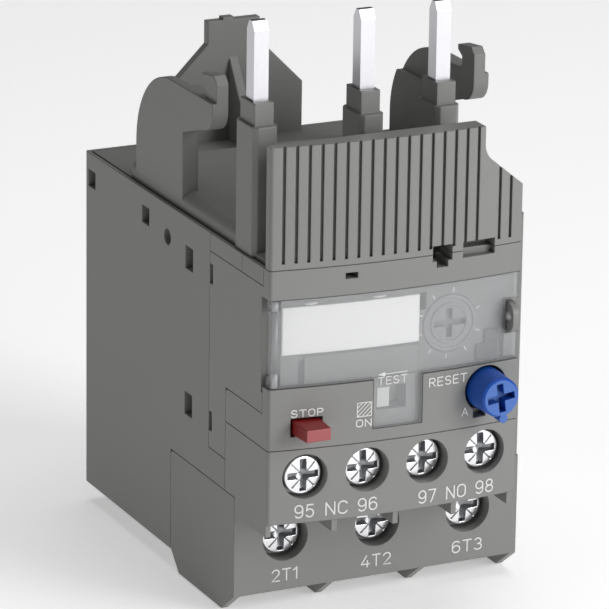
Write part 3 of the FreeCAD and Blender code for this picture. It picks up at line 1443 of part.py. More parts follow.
def build_trip_gear():
    """Trip slide, lever on its pin, and the contact rail with its two bridges."""
    slide = new_body("trip_slide")
    top = s.slide_low + s.slide_height
    pad(slide, "XY", [box(s.slide_left, s.slide_y, s.slide_right, s.slide_y + s.slide_depth)],
        s.slide_low, top)
    for x in phase_x:
        left = x + s.strip_thickness / 2 + s.slide_play
        pad(slide, "XY", [box(left, s.strip_y, left + s.slide_finger, s.slide_y)],
            s.slide_low, top)
    lever = new_body("trip_lever", s.lever_x, s.lever_y)
    half = s.lever_arm_width / 2
    lever_low = s.slide_low + s.slide_play
    lever_top = lever_low + s.lever_height
    rear_end = s.slide_y + s.slide_depth - s.lever_y
    front_end = s.rail_y - s.lever_y
    pad(lever, "XY", [centred_box(as_size(0), as_size(0), s.lever_hub, s.lever_hub)],
        lever_low, lever_top)
    pad(lever, "XY", [box(-half, front_end, half, rear_end)], lever_low, lever_top)
    pad(lever, "XY", [box(-half, front_end, half, front_end + s.lever_arm_width)],
        s.lever_foot, lever_low)
    pocket(lever, "XY", [Circle(0, 0, s.lever_pin_r + s.shaft_play)], lever_low, lever_top)
    pin = new_body("lever_pin", s.lever_x, s.lever_y)
    pad(pin, "XY", [Circle(0, 0, s.lever_pin_r)], lever_low - s.seam, lid_low)
    pad(pin, "XY", [centred_box(as_size(0), as_size(0), s.lever_foot_width, s.lever_foot_width)],
        lever_low - s.wall, lever_low - s.seam)
    rail = new_body("contact_rail")
    rail_right = s.lever_x - half - s.slide_play
    pad(rail, "XY", [box(s.rail_left, s.rail_y, rail_right, s.rail_y + s.rail_depth)],
        s.rail_low, s.rail_low + s.rail_height)
    low = s.rail_low + s.bridge
    high = s.rail_low + s.rail_height - s.bridge
    blade = s.aux_strip / 2
    pairs = {"nc_bridge": (aux_x[0], aux_x[1], -blade - s.bridge),
             "no_bridge": (aux_x[2], aux_x[3], blade + s.contact_gap)}
    for name, (first, second, shift) in pairs.items():
        bridge = new_body(name)
        prong_front = s.aux_strip_end - s.bridge * 2
        bar_front = s.rail_y - s.bridge
        pad(bridge, "XY", [[
            (first + shift, prong_front), (first + shift + s.bridge, prong_front),
            (first + shift + s.bridge, bar_front), (second + shift, bar_front),
            (second + shift, prong_front), (second + shift + s.bridge, prong_front),
            (second + shift + s.bridge, s.rail_y), (first + shift, s.rail_y),
        ]], low, high)


def check_document():
    """Stop if any object failed to compute or any sub-part's shape is unusable."""
    failed = [item.Label for item in doc.Objects if {"Invalid", "Error"} & set(item.State)]
    if failed:
        raise RuntimeError(f"objects that failed: {failed}")
    for body in parts:
        if body.Shape.isNull() or not body.Shape.isValid():
            raise RuntimeError(f"{body.Label} has no valid shape")


def write_parts():
    os.makedirs("parts", exist_ok=True)
    for body in parts:
        body.Shape.exportStep(f"parts/{body.Label}.step")
        bounds = body.Shape.BoundBox
        print(f"{body.Label:22s} solids {len(body.Shape.Solids)} volume {body.Shape.Volume:9.2f}"
              f"  x {bounds.XMin:7.2f} {bounds.XMax:7.2f}  y {bounds.YMin:7.2f} {bounds.YMax:7.2f}"
              f"  z {bounds.ZMin:7.2f} {bounds.ZMax:7.2f}")


build_rear_housing()
build_top_housing()
build_ribbed_cover()
build_front_housing()
build_control_panel()
build_aux_terminal_block()
build_main_terminal_block()
build_window_cover()
build_label_plate()
build_setting_dial()
build_stop_button()
build_reset_knob()
build_test_slider()
build_aux_terminals()
build_main_terminals()
build_contact_pins()
build_heating_elements()
build_trip_gear()
doc.recompute()
check_document()
write_parts()
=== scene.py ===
import math

import bpy
import numpy as np
from mathutils import Matrix, Vector


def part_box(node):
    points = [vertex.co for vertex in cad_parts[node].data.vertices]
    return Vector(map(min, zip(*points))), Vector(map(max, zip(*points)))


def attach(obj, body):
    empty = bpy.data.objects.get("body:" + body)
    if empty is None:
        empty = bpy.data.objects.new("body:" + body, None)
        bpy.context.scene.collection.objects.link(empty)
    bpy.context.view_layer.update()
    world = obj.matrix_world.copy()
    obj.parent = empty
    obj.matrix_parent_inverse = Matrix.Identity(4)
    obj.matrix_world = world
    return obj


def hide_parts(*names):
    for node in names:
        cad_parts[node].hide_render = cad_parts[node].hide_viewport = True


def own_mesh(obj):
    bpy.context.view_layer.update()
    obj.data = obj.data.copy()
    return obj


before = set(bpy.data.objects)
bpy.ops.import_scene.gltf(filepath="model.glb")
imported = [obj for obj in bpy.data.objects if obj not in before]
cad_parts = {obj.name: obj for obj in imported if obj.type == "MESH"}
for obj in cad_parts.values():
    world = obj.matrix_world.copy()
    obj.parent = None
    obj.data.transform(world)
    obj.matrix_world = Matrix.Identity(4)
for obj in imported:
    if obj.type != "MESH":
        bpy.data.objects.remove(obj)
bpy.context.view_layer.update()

MM = 0.001

# The relay's own corner: left side, front plane of the panel's edge, underside of the housing.
shell_low, shell_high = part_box("rear_housing")
panel_low, panel_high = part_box("control_panel")
CORNER = np.array([shell_low[0], panel_low[1] + 2.0 * MM, shell_low[2]])
BODY_WIDTH = shell_high[0] - shell_low[0]
BULGE = 2.0 * MM
BOW_RADIUS = ((BODY_WIDTH / 2) ** 2 + BULGE ** 2) / (2 * BULGE)


def front_depth(x):
    """Y of the bowed front at x: an arc of radius R whose crown stands BULGE forward.

    y = corner_y + (R - bulge) - sqrt(R^2 - (x - middle)^2), all in metres.
    """
    middle = CORNER[0] + BODY_WIDTH / 2
    return CORNER[1] + BOW_RADIUS - BULGE - np.sqrt(BOW_RADIUS ** 2 - (x - middle) ** 2)


# ---------------------------------------------------------------- materials

def srgb(text):
    """Linear colour of an sRGB hex value such as '8C8C89'."""
    parts = np.array([int(text[i:i + 2], 16) for i in (0, 2, 4)]) / 255
    linear = np.where(parts <= 0.04045, parts / 12.92, ((parts + 0.055) / 1.055) ** 2.4)
    return (*[float(c) for c in linear], 1.0)


def add(tree, kind, links=None, **settings):
    """Add one node, set its properties, and fill or link its inputs."""
    made = tree.nodes.new(kind)
    for key, value in settings.items():
        setattr(made, key, value)
    for socket, source in (links or {}).items():
        if isinstance(source, bpy.types.NodeSocket):
            tree.links.new(source, made.inputs[socket])
        else:
            made.inputs[socket].default_value = source
    return made


def mixed(tree, factor, first, second, blend="MIX"):
    """The colour socket of a mix of two colours; its sockets 0, 6 and 7 are factor, A and B."""
    made = add(tree, "ShaderNodeMix", {0: factor, 6: first, 7: second},
               data_type="RGBA", blend_type=blend)
    return made.outputs[2]


def new_material(name):
    """An empty node material with its output and Object coordinates."""
    material = bpy.data.materials.new(name)
    material.use_nodes = True
    tree = material.node_tree
    tree.nodes.clear()
    output = add(tree, "ShaderNodeOutputMaterial")
    place = add(tree, "ShaderNodeTexCoord").outputs["Object"]
    return material, tree, output, place


def normal_parts(tree):
    """The X, Y and Z parts of the surface's normal."""
    geometry = add(tree, "ShaderNodeNewGeometry")
    return add(tree, "ShaderNodeSeparateXYZ", {0: geometry.outputs["Normal"]})


def moulded(name, colour, roughness=0.48, grain=0.35, depth=0.02, patch=0.05, ior=1.53, edge=0.22,
            crevice=0.45, face=None, local=False):
    """Injection-moulded plastic: an even colour with a fine spark-eroded grain.

    grain is the grain's spacing and depth its height, both in millimetres; patch is how far
    the colour drifts over a few millimetres, as pigment does in a moulding; edge is the radius
    in millimetres that the tool leaves along every corner; crevice is how much darker seams,
    corners and pockets are painted, a painted shade where little light reaches them; face is
    the colour painted on the faces that look forwards, a painted sheen for the light they
    reflect; local keeps the painted shade to the piece's own corners, for pieces that lie
    behind the clear cover.
    """
    material, tree, output, place = new_material(name)
    fine = add(tree, "ShaderNodeTexNoise", {"Vector": place, "Scale": 1 / (grain * MM),
                                            "Detail": 3.0, "Roughness": 0.6})
    drift = add(tree, "ShaderNodeTexNoise", {"Vector": place, "Scale": 1 / (14 * MM),
                                             "Detail": 2.0})
    base = srgb(colour)
    dark = tuple(c * (1 - patch) for c in base[:3]) + (1.0,)
    light = tuple(min(1.0, c * (1 + patch)) for c in base[:3]) + (1.0,)
    blend = add(tree, "ShaderNodeMath", {0: drift.outputs["Fac"], 1: fine.outputs["Fac"]},
                operation="ADD")
    half = add(tree, "ShaderNodeMath", {0: blend.outputs[0], 1: 0.5}, operation="MULTIPLY")
    colour_out = mixed(tree, half.outputs[0], dark, light)
    # painted sheen: faces that look forwards take the lighter face colour, for the light they
    # reflect
    if face:
        facing = normal_parts(tree)
        forward = add(tree, "ShaderNodeMapRange", {"Value": facing.outputs["Y"],
                                                   "From Min": -0.9, "From Max": -0.98})
        colour_out = mixed(tree, forward.outputs[0], colour_out, srgb(face))
    # painted shade: ambient occlusion darkens the colour in seams, corners and pockets
    cavity = add(tree, "ShaderNodeAmbientOcclusion", {"Distance": 0.9 * MM}, samples=6,
                 only_local=local)
    shade = add(tree, "ShaderNodeMapRange", {"Value": cavity.outputs["AO"],
                                             "From Min": 0.15, "From Max": 0.75,
                                             "To Min": 1 - crevice, "To Max": 1.0})
    grey = add(tree, "ShaderNodeCombineColor", {0: shade.outputs[0], 1: shade.outputs[0],
                                                2: shade.outputs[0]})
    colour_out = mixed(tree, 1.0, colour_out, grey.outputs[0], "MULTIPLY")
    soft = add(tree, "ShaderNodeBevel", {"Radius": edge * MM}, samples=6)
    bump = add(tree, "ShaderNodeBump", {"Height": fine.outputs["Fac"], "Strength": 0.35,
                                        "Distance": depth * MM, "Normal": soft.outputs[0]})
    rough = add(tree, "ShaderNodeMapRange", {"Value": fine.outputs["Fac"],
                                             "To Min": roughness - 0.06,
                                             "To Max": roughness + 0.06})
    shader = add(tree, "ShaderNodeBsdfPrincipled", {
        "Base Color": colour_out, "Roughness": rough.outputs[0],
        "Normal": bump.outputs[0], "IOR": ior})
    tree.links.new(shader.outputs[0], output.inputs["Surface"])
    return material


def metal(name, colour, roughness, spacing, stretch=(1, 1, 1), depth=0.006, drift=0.06):
    """Plated or bare metal with fine marks left by drawing, turning or stamping.

    spacing is the distance between marks in millimetres; stretch lengthens them along an axis.
    """
    material, tree, output, place = new_material(name)
    turned = add(tree, "ShaderNodeMapping", {"Vector": place, "Scale": stretch})
    marks = add(tree, "ShaderNodeTexNoise", {"Vector": turned.outputs[0],
                                             "Scale": 1 / (spacing * MM), "Detail": 4.0})
    base = srgb(colour)
    dull = tuple(c * (1 - drift) for c in base[:3]) + (1.0,)
    ramp = add(tree, "ShaderNodeValToRGB", {"Fac": marks.outputs["Fac"]})
    ramp.color_ramp.elements[0].position = 0.35
    ramp.color_ramp.elements[0].color = dull
    ramp.color_ramp.elements[1].position = 0.65
    ramp.color_ramp.elements[1].color = base
    bump = add(tree, "ShaderNodeBump", {"Height": marks.outputs["Fac"], "Strength": 0.3,
                                        "Distance": depth * MM})
    rough = add(tree, "ShaderNodeMapRange", {"Value": marks.outputs["Fac"],
                                             "To Min": roughness - 0.05,
                                             "To Max": roughness + 0.08})
    shader = add(tree, "ShaderNodeBsdfPrincipled", {
        "Base Color": ramp.outputs["Color"], "Metallic": 1.0, "Roughness": rough.outputs[0],
        "Normal": bump.outputs[0]})
    tree.links.new(shader.outputs[0], output.inputs["Surface"])
    return material


def clear_polycarbonate(name):
    """Clear polycarbonate with a light grey cast, a faint moulded ripple and painted shade on its
    edges.

    The cut edges above, below and right of the hinge are painted dark and less clear, a painted
    shadow for the gap round the cover: those are the faces with a normal along Z, or along X
    beyond the hinge.
    """
    material, tree, output, place = new_material(name)
    ripple = add(tree, "ShaderNodeTexNoise", {"Vector": place, "Scale": 1 / (2.5 * MM),
                                              "Detail": 1.0})
    bump = add(tree, "ShaderNodeBump", {"Height": ripple.outputs["Fac"], "Strength": 0.1,
                                        "Distance": 0.02 * MM})
    facing = normal_parts(tree)
    spot = add(tree, "ShaderNodeSeparateXYZ", {0: place})
    beyond = add(tree, "ShaderNodeMath", {0: spot.outputs["X"], 1: CORNER[0] + 4 * MM},
                 operation="GREATER_THAN")
    across = add(tree, "ShaderNodeMath", {0: facing.outputs["X"], 1: beyond.outputs[0]},
                 operation="MULTIPLY")
    along_x = add(tree, "ShaderNodeMath", {0: across.outputs[0]}, operation="ABSOLUTE")
    along_z = add(tree, "ShaderNodeMath", {0: facing.outputs["Z"]}, operation="ABSOLUTE")
    most = add(tree, "ShaderNodeMath", {0: along_x.outputs[0], 1: along_z.outputs[0]},
               operation="MAXIMUM")
    # painted shadow: the edge faces turn dark and less clear
    edge = add(tree, "ShaderNodeMapRange", {"Value": most.outputs[0], "From Min": 0.8,
                                            "From Max": 0.95})
    alpha = add(tree, "ShaderNodeMapRange", {"Value": edge.outputs[0], "To Min": 0.2,
                                             "To Max": 0.6})
    shader = add(tree, "ShaderNodeBsdfPrincipled", {
        "Base Color": mixed(tree, edge.outputs[0], srgb("D2D4D6"), srgb("3C3D3E")),
        "Roughness": 0.2, "IOR": 1.585, "Alpha": alpha.outputs[0], "Normal": bump.outputs[0]})
    tree.links.new(shader.outputs[0], output.inputs["Surface"])
    return material


# glass-filled polyamide: dense, slightly warm greys with a dry satin grain; the panel and the
# shell behind the clear cover are shaded by their own corners only
shell_grey = moulded("polyamide_shell_grey", "7B7B79", roughness=0.5)
front_grey = moulded("polyamide_front_grey", "7E7E7C", roughness=0.48)
panel_grey = moulded("polyamide_panel_grey", "7E7E7C", roughness=0.48, local=True)
recess_grey = moulded("polyamide_recess_grey", "7D7D7B", roughness=0.48, local=True)
top_grey = moulded("polyamide_top_grey", "787876", roughness=0.5, edge=0.35)
# smoother polyamide for the pieces that fingers touch
# the face colours below are a painted sheen on the front faces
stop_red = moulded("polyamide_signal_red", "861719", roughness=0.42, grain=0.5, depth=0.01,
                   patch=0.04, edge=0.28, face="9C4C4E")
reset_blue = moulded("polyamide_signal_blue", "124CA8", roughness=0.42, grain=0.5, depth=0.01,
                     ior=1.42, face="466CB4")
slider_white = moulded("acetal_white", "DADAD8", roughness=0.35, grain=0.5, depth=0.008,
                       patch=0.02, ior=1.48, crevice=0.1, local=True)
# polycarbonate: the dial, and the cover's thicker hinge edge with its two ends
# the dial's high crevice value paints deep shade into its cross slots
dial_grey = moulded("polycarbonate_dial_grey", "868788", roughness=0.36, grain=0.6, depth=0.01,
                    patch=0.03, crevice=0.7, local=True)
hinge_band = moulded("polycarbonate_hinge_band", "8A8B8C", roughness=0.4, crevice=0.1, edge=0.1)
hinge_end = moulded("polycarbonate_hinge_end", "9A9B9C", roughness=0.4, crevice=0.1, edge=0.1)
# pieces inside: uncoloured acetal and a dark plunger
inner_natural = moulded("acetal_natural", "D8D2BE", roughness=0.4, patch=0.04, ior=1.48)
plunger_dark = moulded("polyamide_plunger_dark", "3A3C40", roughness=0.45)
# painted shade: a dark grey for thin sheets on the floors of pockets behind the cover
pocket_painted_shade = moulded("painted_pocket_shade", "3E3F40", roughness=0.6, local=True)
# uncoated card behind the cover, dry and bright
label_card = moulded("label_card", "F8F7F7", roughness=0.7, grain=0.12, depth=0.006, patch=0.01,
                     crevice=0.0)
# pad-printed ink: thin, matt and slightly uneven, and brighter on the dial's scale
print_white = moulded("printing_ink_white", "D6D6D4", roughness=0.55, grain=0.1, depth=0.004,
                      patch=0.03, edge=0.02, crevice=0.0)
tick_white = moulded("scale_ink_white", "F6F6F4", roughness=0.6, crevice=0.0)
# bright nickel on steel screws: clean and mirror-like with faint turning marks
screw_nickel = metal("nickel_plated_steel", "F2F2F4", 0.24, 0.12, (1, 1, 1), 0.003, 0.03)
# painted shade: a darker steel for the faces sunk in a screw's cross recess, where shade falls
screw_recess_shade = metal("steel_recess_painted_shade", "B2B3B6", 0.36, 0.2, (1, 1, 1), 0.004, 0.3)
# zinc-plated sheet for clamps: paler and duller
clamp_zinc = metal("zinc_plated_steel", "B9BBBC", 0.36, 0.25, (1, 1, 0.2), 0.006)
# silver-plated copper pins: near white, drawn along their length
pin_silver = metal("silver_plated_copper", "CFCFD3", 0.3, 0.1, (1, 1, 0.04), 0.005, 0.04)
# inner metal: tinned bars, rolled bimetal, resistance wire, spring wire and contact bridges
bar_tinned = metal("tinned_copper", "CFC9BC", 0.34, 0.2, (1, 0.1, 1), 0.006)
strip_bimetal = metal("rolled_bimetal", "A8A39A", 0.3, 0.12, (1, 1, 0.05), 0.004)
heater_ribbon = metal("resistance_ribbon", "8C7152", 0.42, 0.15, (1, 1, 0.3), 0.006)
spring_wire = metal("spring_steel_wire", "9A9C9E", 0.28, 0.1, (1, 1, 1), 0.003)
contact_bronze = metal("silvered_bronze", "C9B58C", 0.3, 0.15, (1, 0.2, 1), 0.004)
cover_clear = clear_polycarbonate("clear_polycarbonate")

FINISH = {
    "rear_housing": shell_grey, "main_terminal_block": shell_grey,
    "front_housing": recess_grey, "control_panel": panel_grey, "aux_terminal_block": front_grey,
    "ribbed_cover": front_grey, "top_housing": top_grey,
    "window_cover": cover_clear, "label_plate": label_card, "setting_dial": dial_grey,
    "stop_button": stop_red, "reset_knob": reset_blue, "reset_plunger": plunger_dark,
    "test_slider": slider_white,
    "trip_slide": inner_natural, "trip_lever": inner_natural, "contact_rail": inner_natural,
    "lever_pin": screw_nickel, "nc_bridge": contact_bronze, "no_bridge": contact_bronze,
}
POLES = (1, 2, 3)
for number in POLES:
    FINISH[f"contact_pin_{number}"] = pin_silver
    FINISH[f"main_clamp_{number}"] = clamp_zinc
    FINISH[f"load_terminal_{number}"] = bar_tinned
    FINISH[f"bimetal_strip_{number}"] = strip_bimetal
    FINISH[f"heater_winding_{number}"] = heater_ribbon
SIGNALS = ("95", "96", "97", "98")
for name in SIGNALS:
    FINISH[f"aux_clamp_{name}"] = clamp_zinc
    FINISH[f"aux_terminal_{name}"] = bar_tinned


def finish_node(node, material):
    """Give a CAD node's object its material."""
    made = bpy.data.objects[node]
    if made.material_slots:
        for held in made.material_slots:
            held.material = material
    else:
        made.data.materials.append(material)


for node, material in FINISH.items():
    finish_node(node, material)


# ---------------------------------------------------------------- meshes

def mesh_object(name, points, faces, material, smooth=True):
    """One object at the origin from an array of points and a list of faces."""
    mesh = bpy.data.meshes.new(name)
    mesh.from_pydata([tuple(p) for p in points], [], faces)
    mesh.validate()
    mesh.polygons.foreach_set("use_smooth", [smooth] * len(mesh.polygons))
    mesh.materials.append(material)
    made = bpy.data.objects.new(name, mesh)
    bpy.context.scene.collection.objects.link(made)
    return made


def ring_faces(rings, count):
    """Faces that join rings of points and close the first and last ring onto two end points.

    The two end points follow the rings. A face's normal is the way to the next ring crossed
    with the way round the ring.
    """
    i, j = np.meshgrid(np.arange(rings - 1), np.arange(count), indexing="ij")
    k = (j + 1) % count
    quads = np.stack([i * count + j, (i + 1) * count + j, (i + 1) * count + k, i * count + k],
                     axis=-1).reshape(-1, 4)
    around = np.arange(count)
    following = (around + 1) % count
    first = np.stack([np.full(count, rings * count), around, following], axis=-1)
    base = (rings - 1) * count
    last = np.stack([np.full(count, rings * count + 1), base + following, base + around], axis=-1)
    return quads.tolist() + first.tolist() + last.tolist()


def turned_surface(radius, depth):
    """Points and faces of a closed surface about the Y axis.

    Ring i, angle j lies at (r cos a, y, r sin a) with r = radius[i, j], y = depth[i, j] and
    a = 2 pi j / n; the first and last rings close onto points on the axis.
    """
    rings, count = radius.shape
    angle = 2 * np.pi * np.arange(count) / count
    ring_points = np.stack([radius * np.cos(angle), depth, radius * np.sin(angle)], axis=-1)
    ends = np.array([[0, depth[0].mean(), 0], [0, depth[-1].mean(), 0]])
    points = np.concatenate([ring_points.reshape(-1, 3), ends])
    return points, ring_faces(rings, count)


def soft_step(value, edge, blur):
    """0 below the edge and 1 above it, changing smoothly over the blur."""
    t = np.clip((value - edge) / blur + 0.5, 0, 1)
    return t * t * (3 - 2 * t)


def screw_shape(head_r, head_h, shank_r, length, pitch):
    """Points, faces and recess depths of a screw along +Y with a cross recess and diagonal ticks.

    The front is y = dome(r) + cross(r, a) + ticks(r, a): the dome falls as (r / R)^2, the
    cross is the union of two slots of half width w that get shallower outwards, and the ticks
    are narrow radial cuts half way between the slots. The shank's radius is
    shank_r - k |saw(y / pitch - a / 2 pi)|.
    """
    count = 240
    angle = 2 * np.pi * np.arange(count) / count
    front = np.linspace(0.012, 0.93, 46)[:, None] * head_r * np.ones(count)
    x = front * np.cos(angle)
    z = front * np.sin(angle)
    half = 0.16 * head_r
    reach = 0.8 * head_r
    blur = 0.035 * head_r
    arm_x = (1 - soft_step(np.abs(z), half, blur)) * (1 - soft_step(np.abs(x), reach, blur * 2))
    arm_z = (1 - soft_step(np.abs(x), half, blur)) * (1 - soft_step(np.abs(z), reach, blur * 2))
    arms = np.maximum(arm_x, arm_z)
    floor = (0.62 - 0.42 * front / head_r) * head_r
    core = 1 - soft_step(front, 0.3 * head_r, blur * 2)
    slot = np.maximum(arms, core) * floor
    diagonal = np.abs(np.abs(x) - np.abs(z)) / math.sqrt(2)
    ticks = 1 - soft_step(diagonal, 0.024 * head_r, 0.02 * head_r)
    ticks *= soft_step(front, 0.36 * head_r, blur) * (1 - soft_step(front, 0.88 * head_r, blur))
    dome = 0.06 * head_r * (front / head_r) ** 2
    face = dome + np.maximum(slot, ticks * 0.05 * head_r)
    rim_r = np.array([0.965, 0.99, 1.0, 1.0, 0.985, 0.9])[:, None] * head_r * np.ones(count)
    rim_y = np.array([0.075, 0.11, 0.17, 0.9, 0.97, 1.0])[:, None] * np.ones(count)
    rim_y[:3] *= head_r
    rim_y[3:] *= head_h
    steps = max(int((length - head_h) / pitch * 6), 8)
    along = np.linspace(head_h, length - 0.3 * shank_r, steps)[:, None] * np.ones(count)
    phase = (along / pitch - angle / (2 * np.pi)) % 1.0
    thread = shank_r - 0.14 * shank_r * np.abs(2 * phase - 1)
    tip_r = np.array([0.7, 0.3])[:, None] * shank_r * np.ones(count)
    tip_y = np.array([length, length])[:, None] * np.ones(count)
    radius = np.concatenate([front, rim_r, thread, tip_r])
    depth = np.concatenate([face, rim_y, along, tip_y])
    sunk = np.zeros_like(radius)
    sunk[:len(front)] = np.maximum(slot, ticks * 0.05 * head_r)
    return (*turned_surface(radius, depth), sunk.ravel())


def make_screw(node, body, head_h, shank_r, pitch):
    """A detailed screw in the place of a CAD screw, riding on its body."""
    low, high = (np.array(corner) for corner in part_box(node))
    head_r = (high[0] - low[0]) / 2
    centre = (low + high) / 2
    points, faces, sunk = screw_shape(head_r, head_h, shank_r, high[1] - low[1], pitch)
    points = points + np.array([centre[0], low[1], centre[2]])
    made = mesh_object(f"{node}_cross_head", points, faces, screw_nickel)
    # painted shade: faces sunk deep in the cross recess take the darker recess steel
    made.data.materials.append(screw_recess_shade)
    deep = np.append(sunk, [1.0, 0.0]) > 0.02 * head_r
    for polygon in made.data.polygons:
        polygon.material_index = int(deep[list(polygon.vertices)].mean() > 0.4)
    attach(made, body)
    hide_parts(node)
    return made


# head height, shank radius and pitch of the M4 motor screws and the M3 signal screws
for number in POLES:
    make_screw(f"main_screw_{number}", f"main_screw_{number}", 2.4 * MM, 2.0 * MM, 0.7 * MM)
for name in SIGNALS:
    make_screw(f"aux_screw_{name}", f"signal_screw_{name}", 1.9 * MM, 1.5 * MM, 0.5 * MM)


# ---------------------------------------------------------------- springs

SPRING_WIRE_R = 0.2 * MM
SPRING_PITCH = 1.8 * MM
SPRING_GAP = 0.02 * MM


def wound_wire(coil_r, wire_r, length, turns):
    """Points and faces of a round wire wound about the Y axis, from y = 0 to y = length.

    At turn t the middle of the wire lies at (R cos a, y, R sin a) with a = 2 pi t, and
    y = w + (length - 2 w) * (t / turns), w being the wire's radius. Point j of the ring there
    adds w * (cos b * outwards + sin b * along Y) with b = 2 pi j / n. The wire's two ends close
    onto points in its middle.
    """
    steps, count = turns * 40, 14
    turn = np.linspace(0, turns, steps + 1)
    angle = 2 * np.pi * turn
    outwards = np.stack([np.cos(angle), np.zeros(steps + 1), np.sin(angle)], axis=1)
    middle = coil_r * outwards
    middle[:, 1] = wire_r + (length - 2 * wire_r) * turn / turns
    around = 2 * np.pi * np.arange(count) / count
    along = np.array([0.0, 1.0, 0.0])
    rings = (middle[:, None] + wire_r * (np.cos(around)[None, :, None] * outwards[:, None]
                                         + np.sin(around)[None, :, None] * along))
    points = np.concatenate([rings.reshape(-1, 3), middle[:1], middle[-1:]])
    return points, [face[::-1] for face in ring_faces(steps + 1, count)]


def make_spring(node):
    """A round-wire spring in the place of a CAD spring."""
    low, high = (np.array(corner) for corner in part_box(node))
    centre = (low + high) / 2
    coil_r = (high[0] - low[0]) / 2 - SPRING_WIRE_R - SPRING_GAP
    length = high[1] - low[1] - 2 * SPRING_GAP
    points, faces = wound_wire(coil_r, SPRING_WIRE_R, length, round(length / SPRING_PITCH))
    points = points + np.array([centre[0], low[1] + SPRING_GAP, centre[2]])
    made = mesh_object(f"{node}_round_wire", points, faces, spring_wire)
    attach(made, "casing")
    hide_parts(node)
    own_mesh(made)
    return made


make_spring("stop_spring")
make_spring("reset_spring")


# ---------------------------------------------------------------- printing

def line(*points):
    """A straight or bent line through points."""
    return np.array(points, dtype=float)


def arc(x, y, rx, ry, start, end):
    """Points (x + rx cos a, y + ry sin a) for a from start to end degrees."""
    a = np.radians(np.linspace(start, end, max(int(abs(end - start) / 15), 2) + 1))
    return np.stack([x + rx * np.cos(a), y + ry * np.sin(a)], axis=1)


def joined(*runs):
    """One line made of several runs, end to start."""
    return np.concatenate(runs)


# centre lines of plain engraved letters, one unit tall: each has a width and its strokes
OVAL = joined(arc(0.29, 0.71, 0.29, 0.29, 0, 180), arc(0.29, 0.29, 0.29, 0.29, 180, 360),
              line((0.58, 0.71)))
LETTERS = {
    "A": (0.68, [line((0, 0), (0.34, 1)), line((0.34, 1), (0.68, 0)),
                 line((0.12, 0.33), (0.56, 0.33))]),
    "C": (0.56, [joined(arc(0.29, 0.71, 0.29, 0.29, 20, 180),
                        arc(0.29, 0.29, 0.29, 0.29, 180, 340))]),
    "E": (0.5, [line((0, 0), (0, 1)), line((0, 1), (0.5, 1)), line((0, 0.52), (0.44, 0.52)),
                line((0, 0), (0.5, 0))]),
    "N": (0.56, [line((0, 0), (0, 1)), line((0, 1), (0.56, 0)), line((0.56, 0), (0.56, 1))]),
    "O": (0.58, [OVAL]),
    "P": (0.54, [line((0, 0), (0, 1)),
                 joined(line((0, 1)), arc(0.28, 0.74, 0.26, 0.26, 90, -90), line((0, 0.48)))]),
    "R": (0.56, [line((0, 0), (0, 1)), line((0.26, 0.48), (0.56, 0)),
                 joined(line((0, 1)), arc(0.28, 0.74, 0.26, 0.26, 90, -90), line((0, 0.48)))]),
    "S": (0.54, [joined(arc(0.27, 0.75, 0.25, 0.25, 25, 240),
                        arc(0.27, 0.26, 0.27, 0.26, 60, -155))]),
    "T": (0.6, [line((0, 1), (0.6, 1)), line((0.3, 1), (0.3, 0))]),
    "1": (0.26, [line((0, 0.78), (0.24, 1)), line((0.24, 1), (0.24, 0))]),
    "2": (0.56, [joined(arc(0.28, 0.72, 0.27, 0.28, 165, -38), line((0, 0)), line((0.56, 0)))]),
    "3": (0.54, [arc(0.26, 0.75, 0.24, 0.25, 150, -90), arc(0.26, 0.26, 0.28, 0.26, 90, -150)]),
    "4": (0.62, [line((0.4, 1), (0, 0.26)), line((0, 0.26), (0.62, 0.26)),
                 line((0.46, 0.55), (0.46, 0))]),
    "5": (0.54, [line((0.5, 1), (0.08, 1)), line((0.08, 1), (0.03, 0.52)),
                 joined(line((0.03, 0.52)), arc(0.26, 0.32, 0.28, 0.32, 115, -150))]),
    "6": (0.56, [joined(arc(0.28, 0.7, 0.28, 0.3, 35, 180),
                        arc(0.28, 0.31, 0.28, 0.31, 180, 540))]),
    "7": (0.54, [line((0, 1), (0.54, 1)), line((0.54, 1), (0.18, 0))]),
    "8": (0.56, [arc(0.28, 0.76, 0.24, 0.24, 90, 450), arc(0.28, 0.26, 0.28, 0.26, 90, 450)]),
    "9": (0.56, [joined(arc(0.28, 0.69, 0.28, 0.31, 360, 0),
                        arc(0.28, 0.3, 0.28, 0.3, 0, -145))]),
}
INK = 0.03  # thickness of the printing in millimetres
CLEAR = 0.005  # and how far it lies off the surface, so that the two never flicker


def ribbon(points, width):
    """Left and right edges of a line of even width with round ends.

    The half width at a distance d from an end is sqrt(h^2 - (h - d)^2) for d below h.
    """
    half = width / 2
    fresh = np.hypot(*np.diff(points, axis=0).T) > 1e-6
    points = points[np.append(True, fresh)]
    steps = np.diff(points, axis=0)
    steps /= np.hypot(steps[:, 0], steps[:, 1])[:, None]
    along = np.concatenate([steps[:1], steps[:-1] + steps[1:], steps[-1:]])
    along /= np.hypot(along[:, 0], along[:, 1])[:, None]
    turn = np.radians([84, 60, 35])
    rounded = half * np.cos(turn)
    head = points[0] - along[0] * half * np.sin(turn)[:, None]
    tail = points[-1] + along[-1] * half * np.sin(turn[::-1])[:, None]
    centre = np.concatenate([head, points, tail])
    reach = np.concatenate([rounded, np.full(len(points), half), rounded[::-1]])
    along = np.concatenate([np.repeat(along[:1], 3, 0), along, np.repeat(along[-1:], 3, 0)])
    side = np.stack([-along[:, 1], along[:, 0]], axis=1) * reach[:, None]
    return centre + side, centre - side


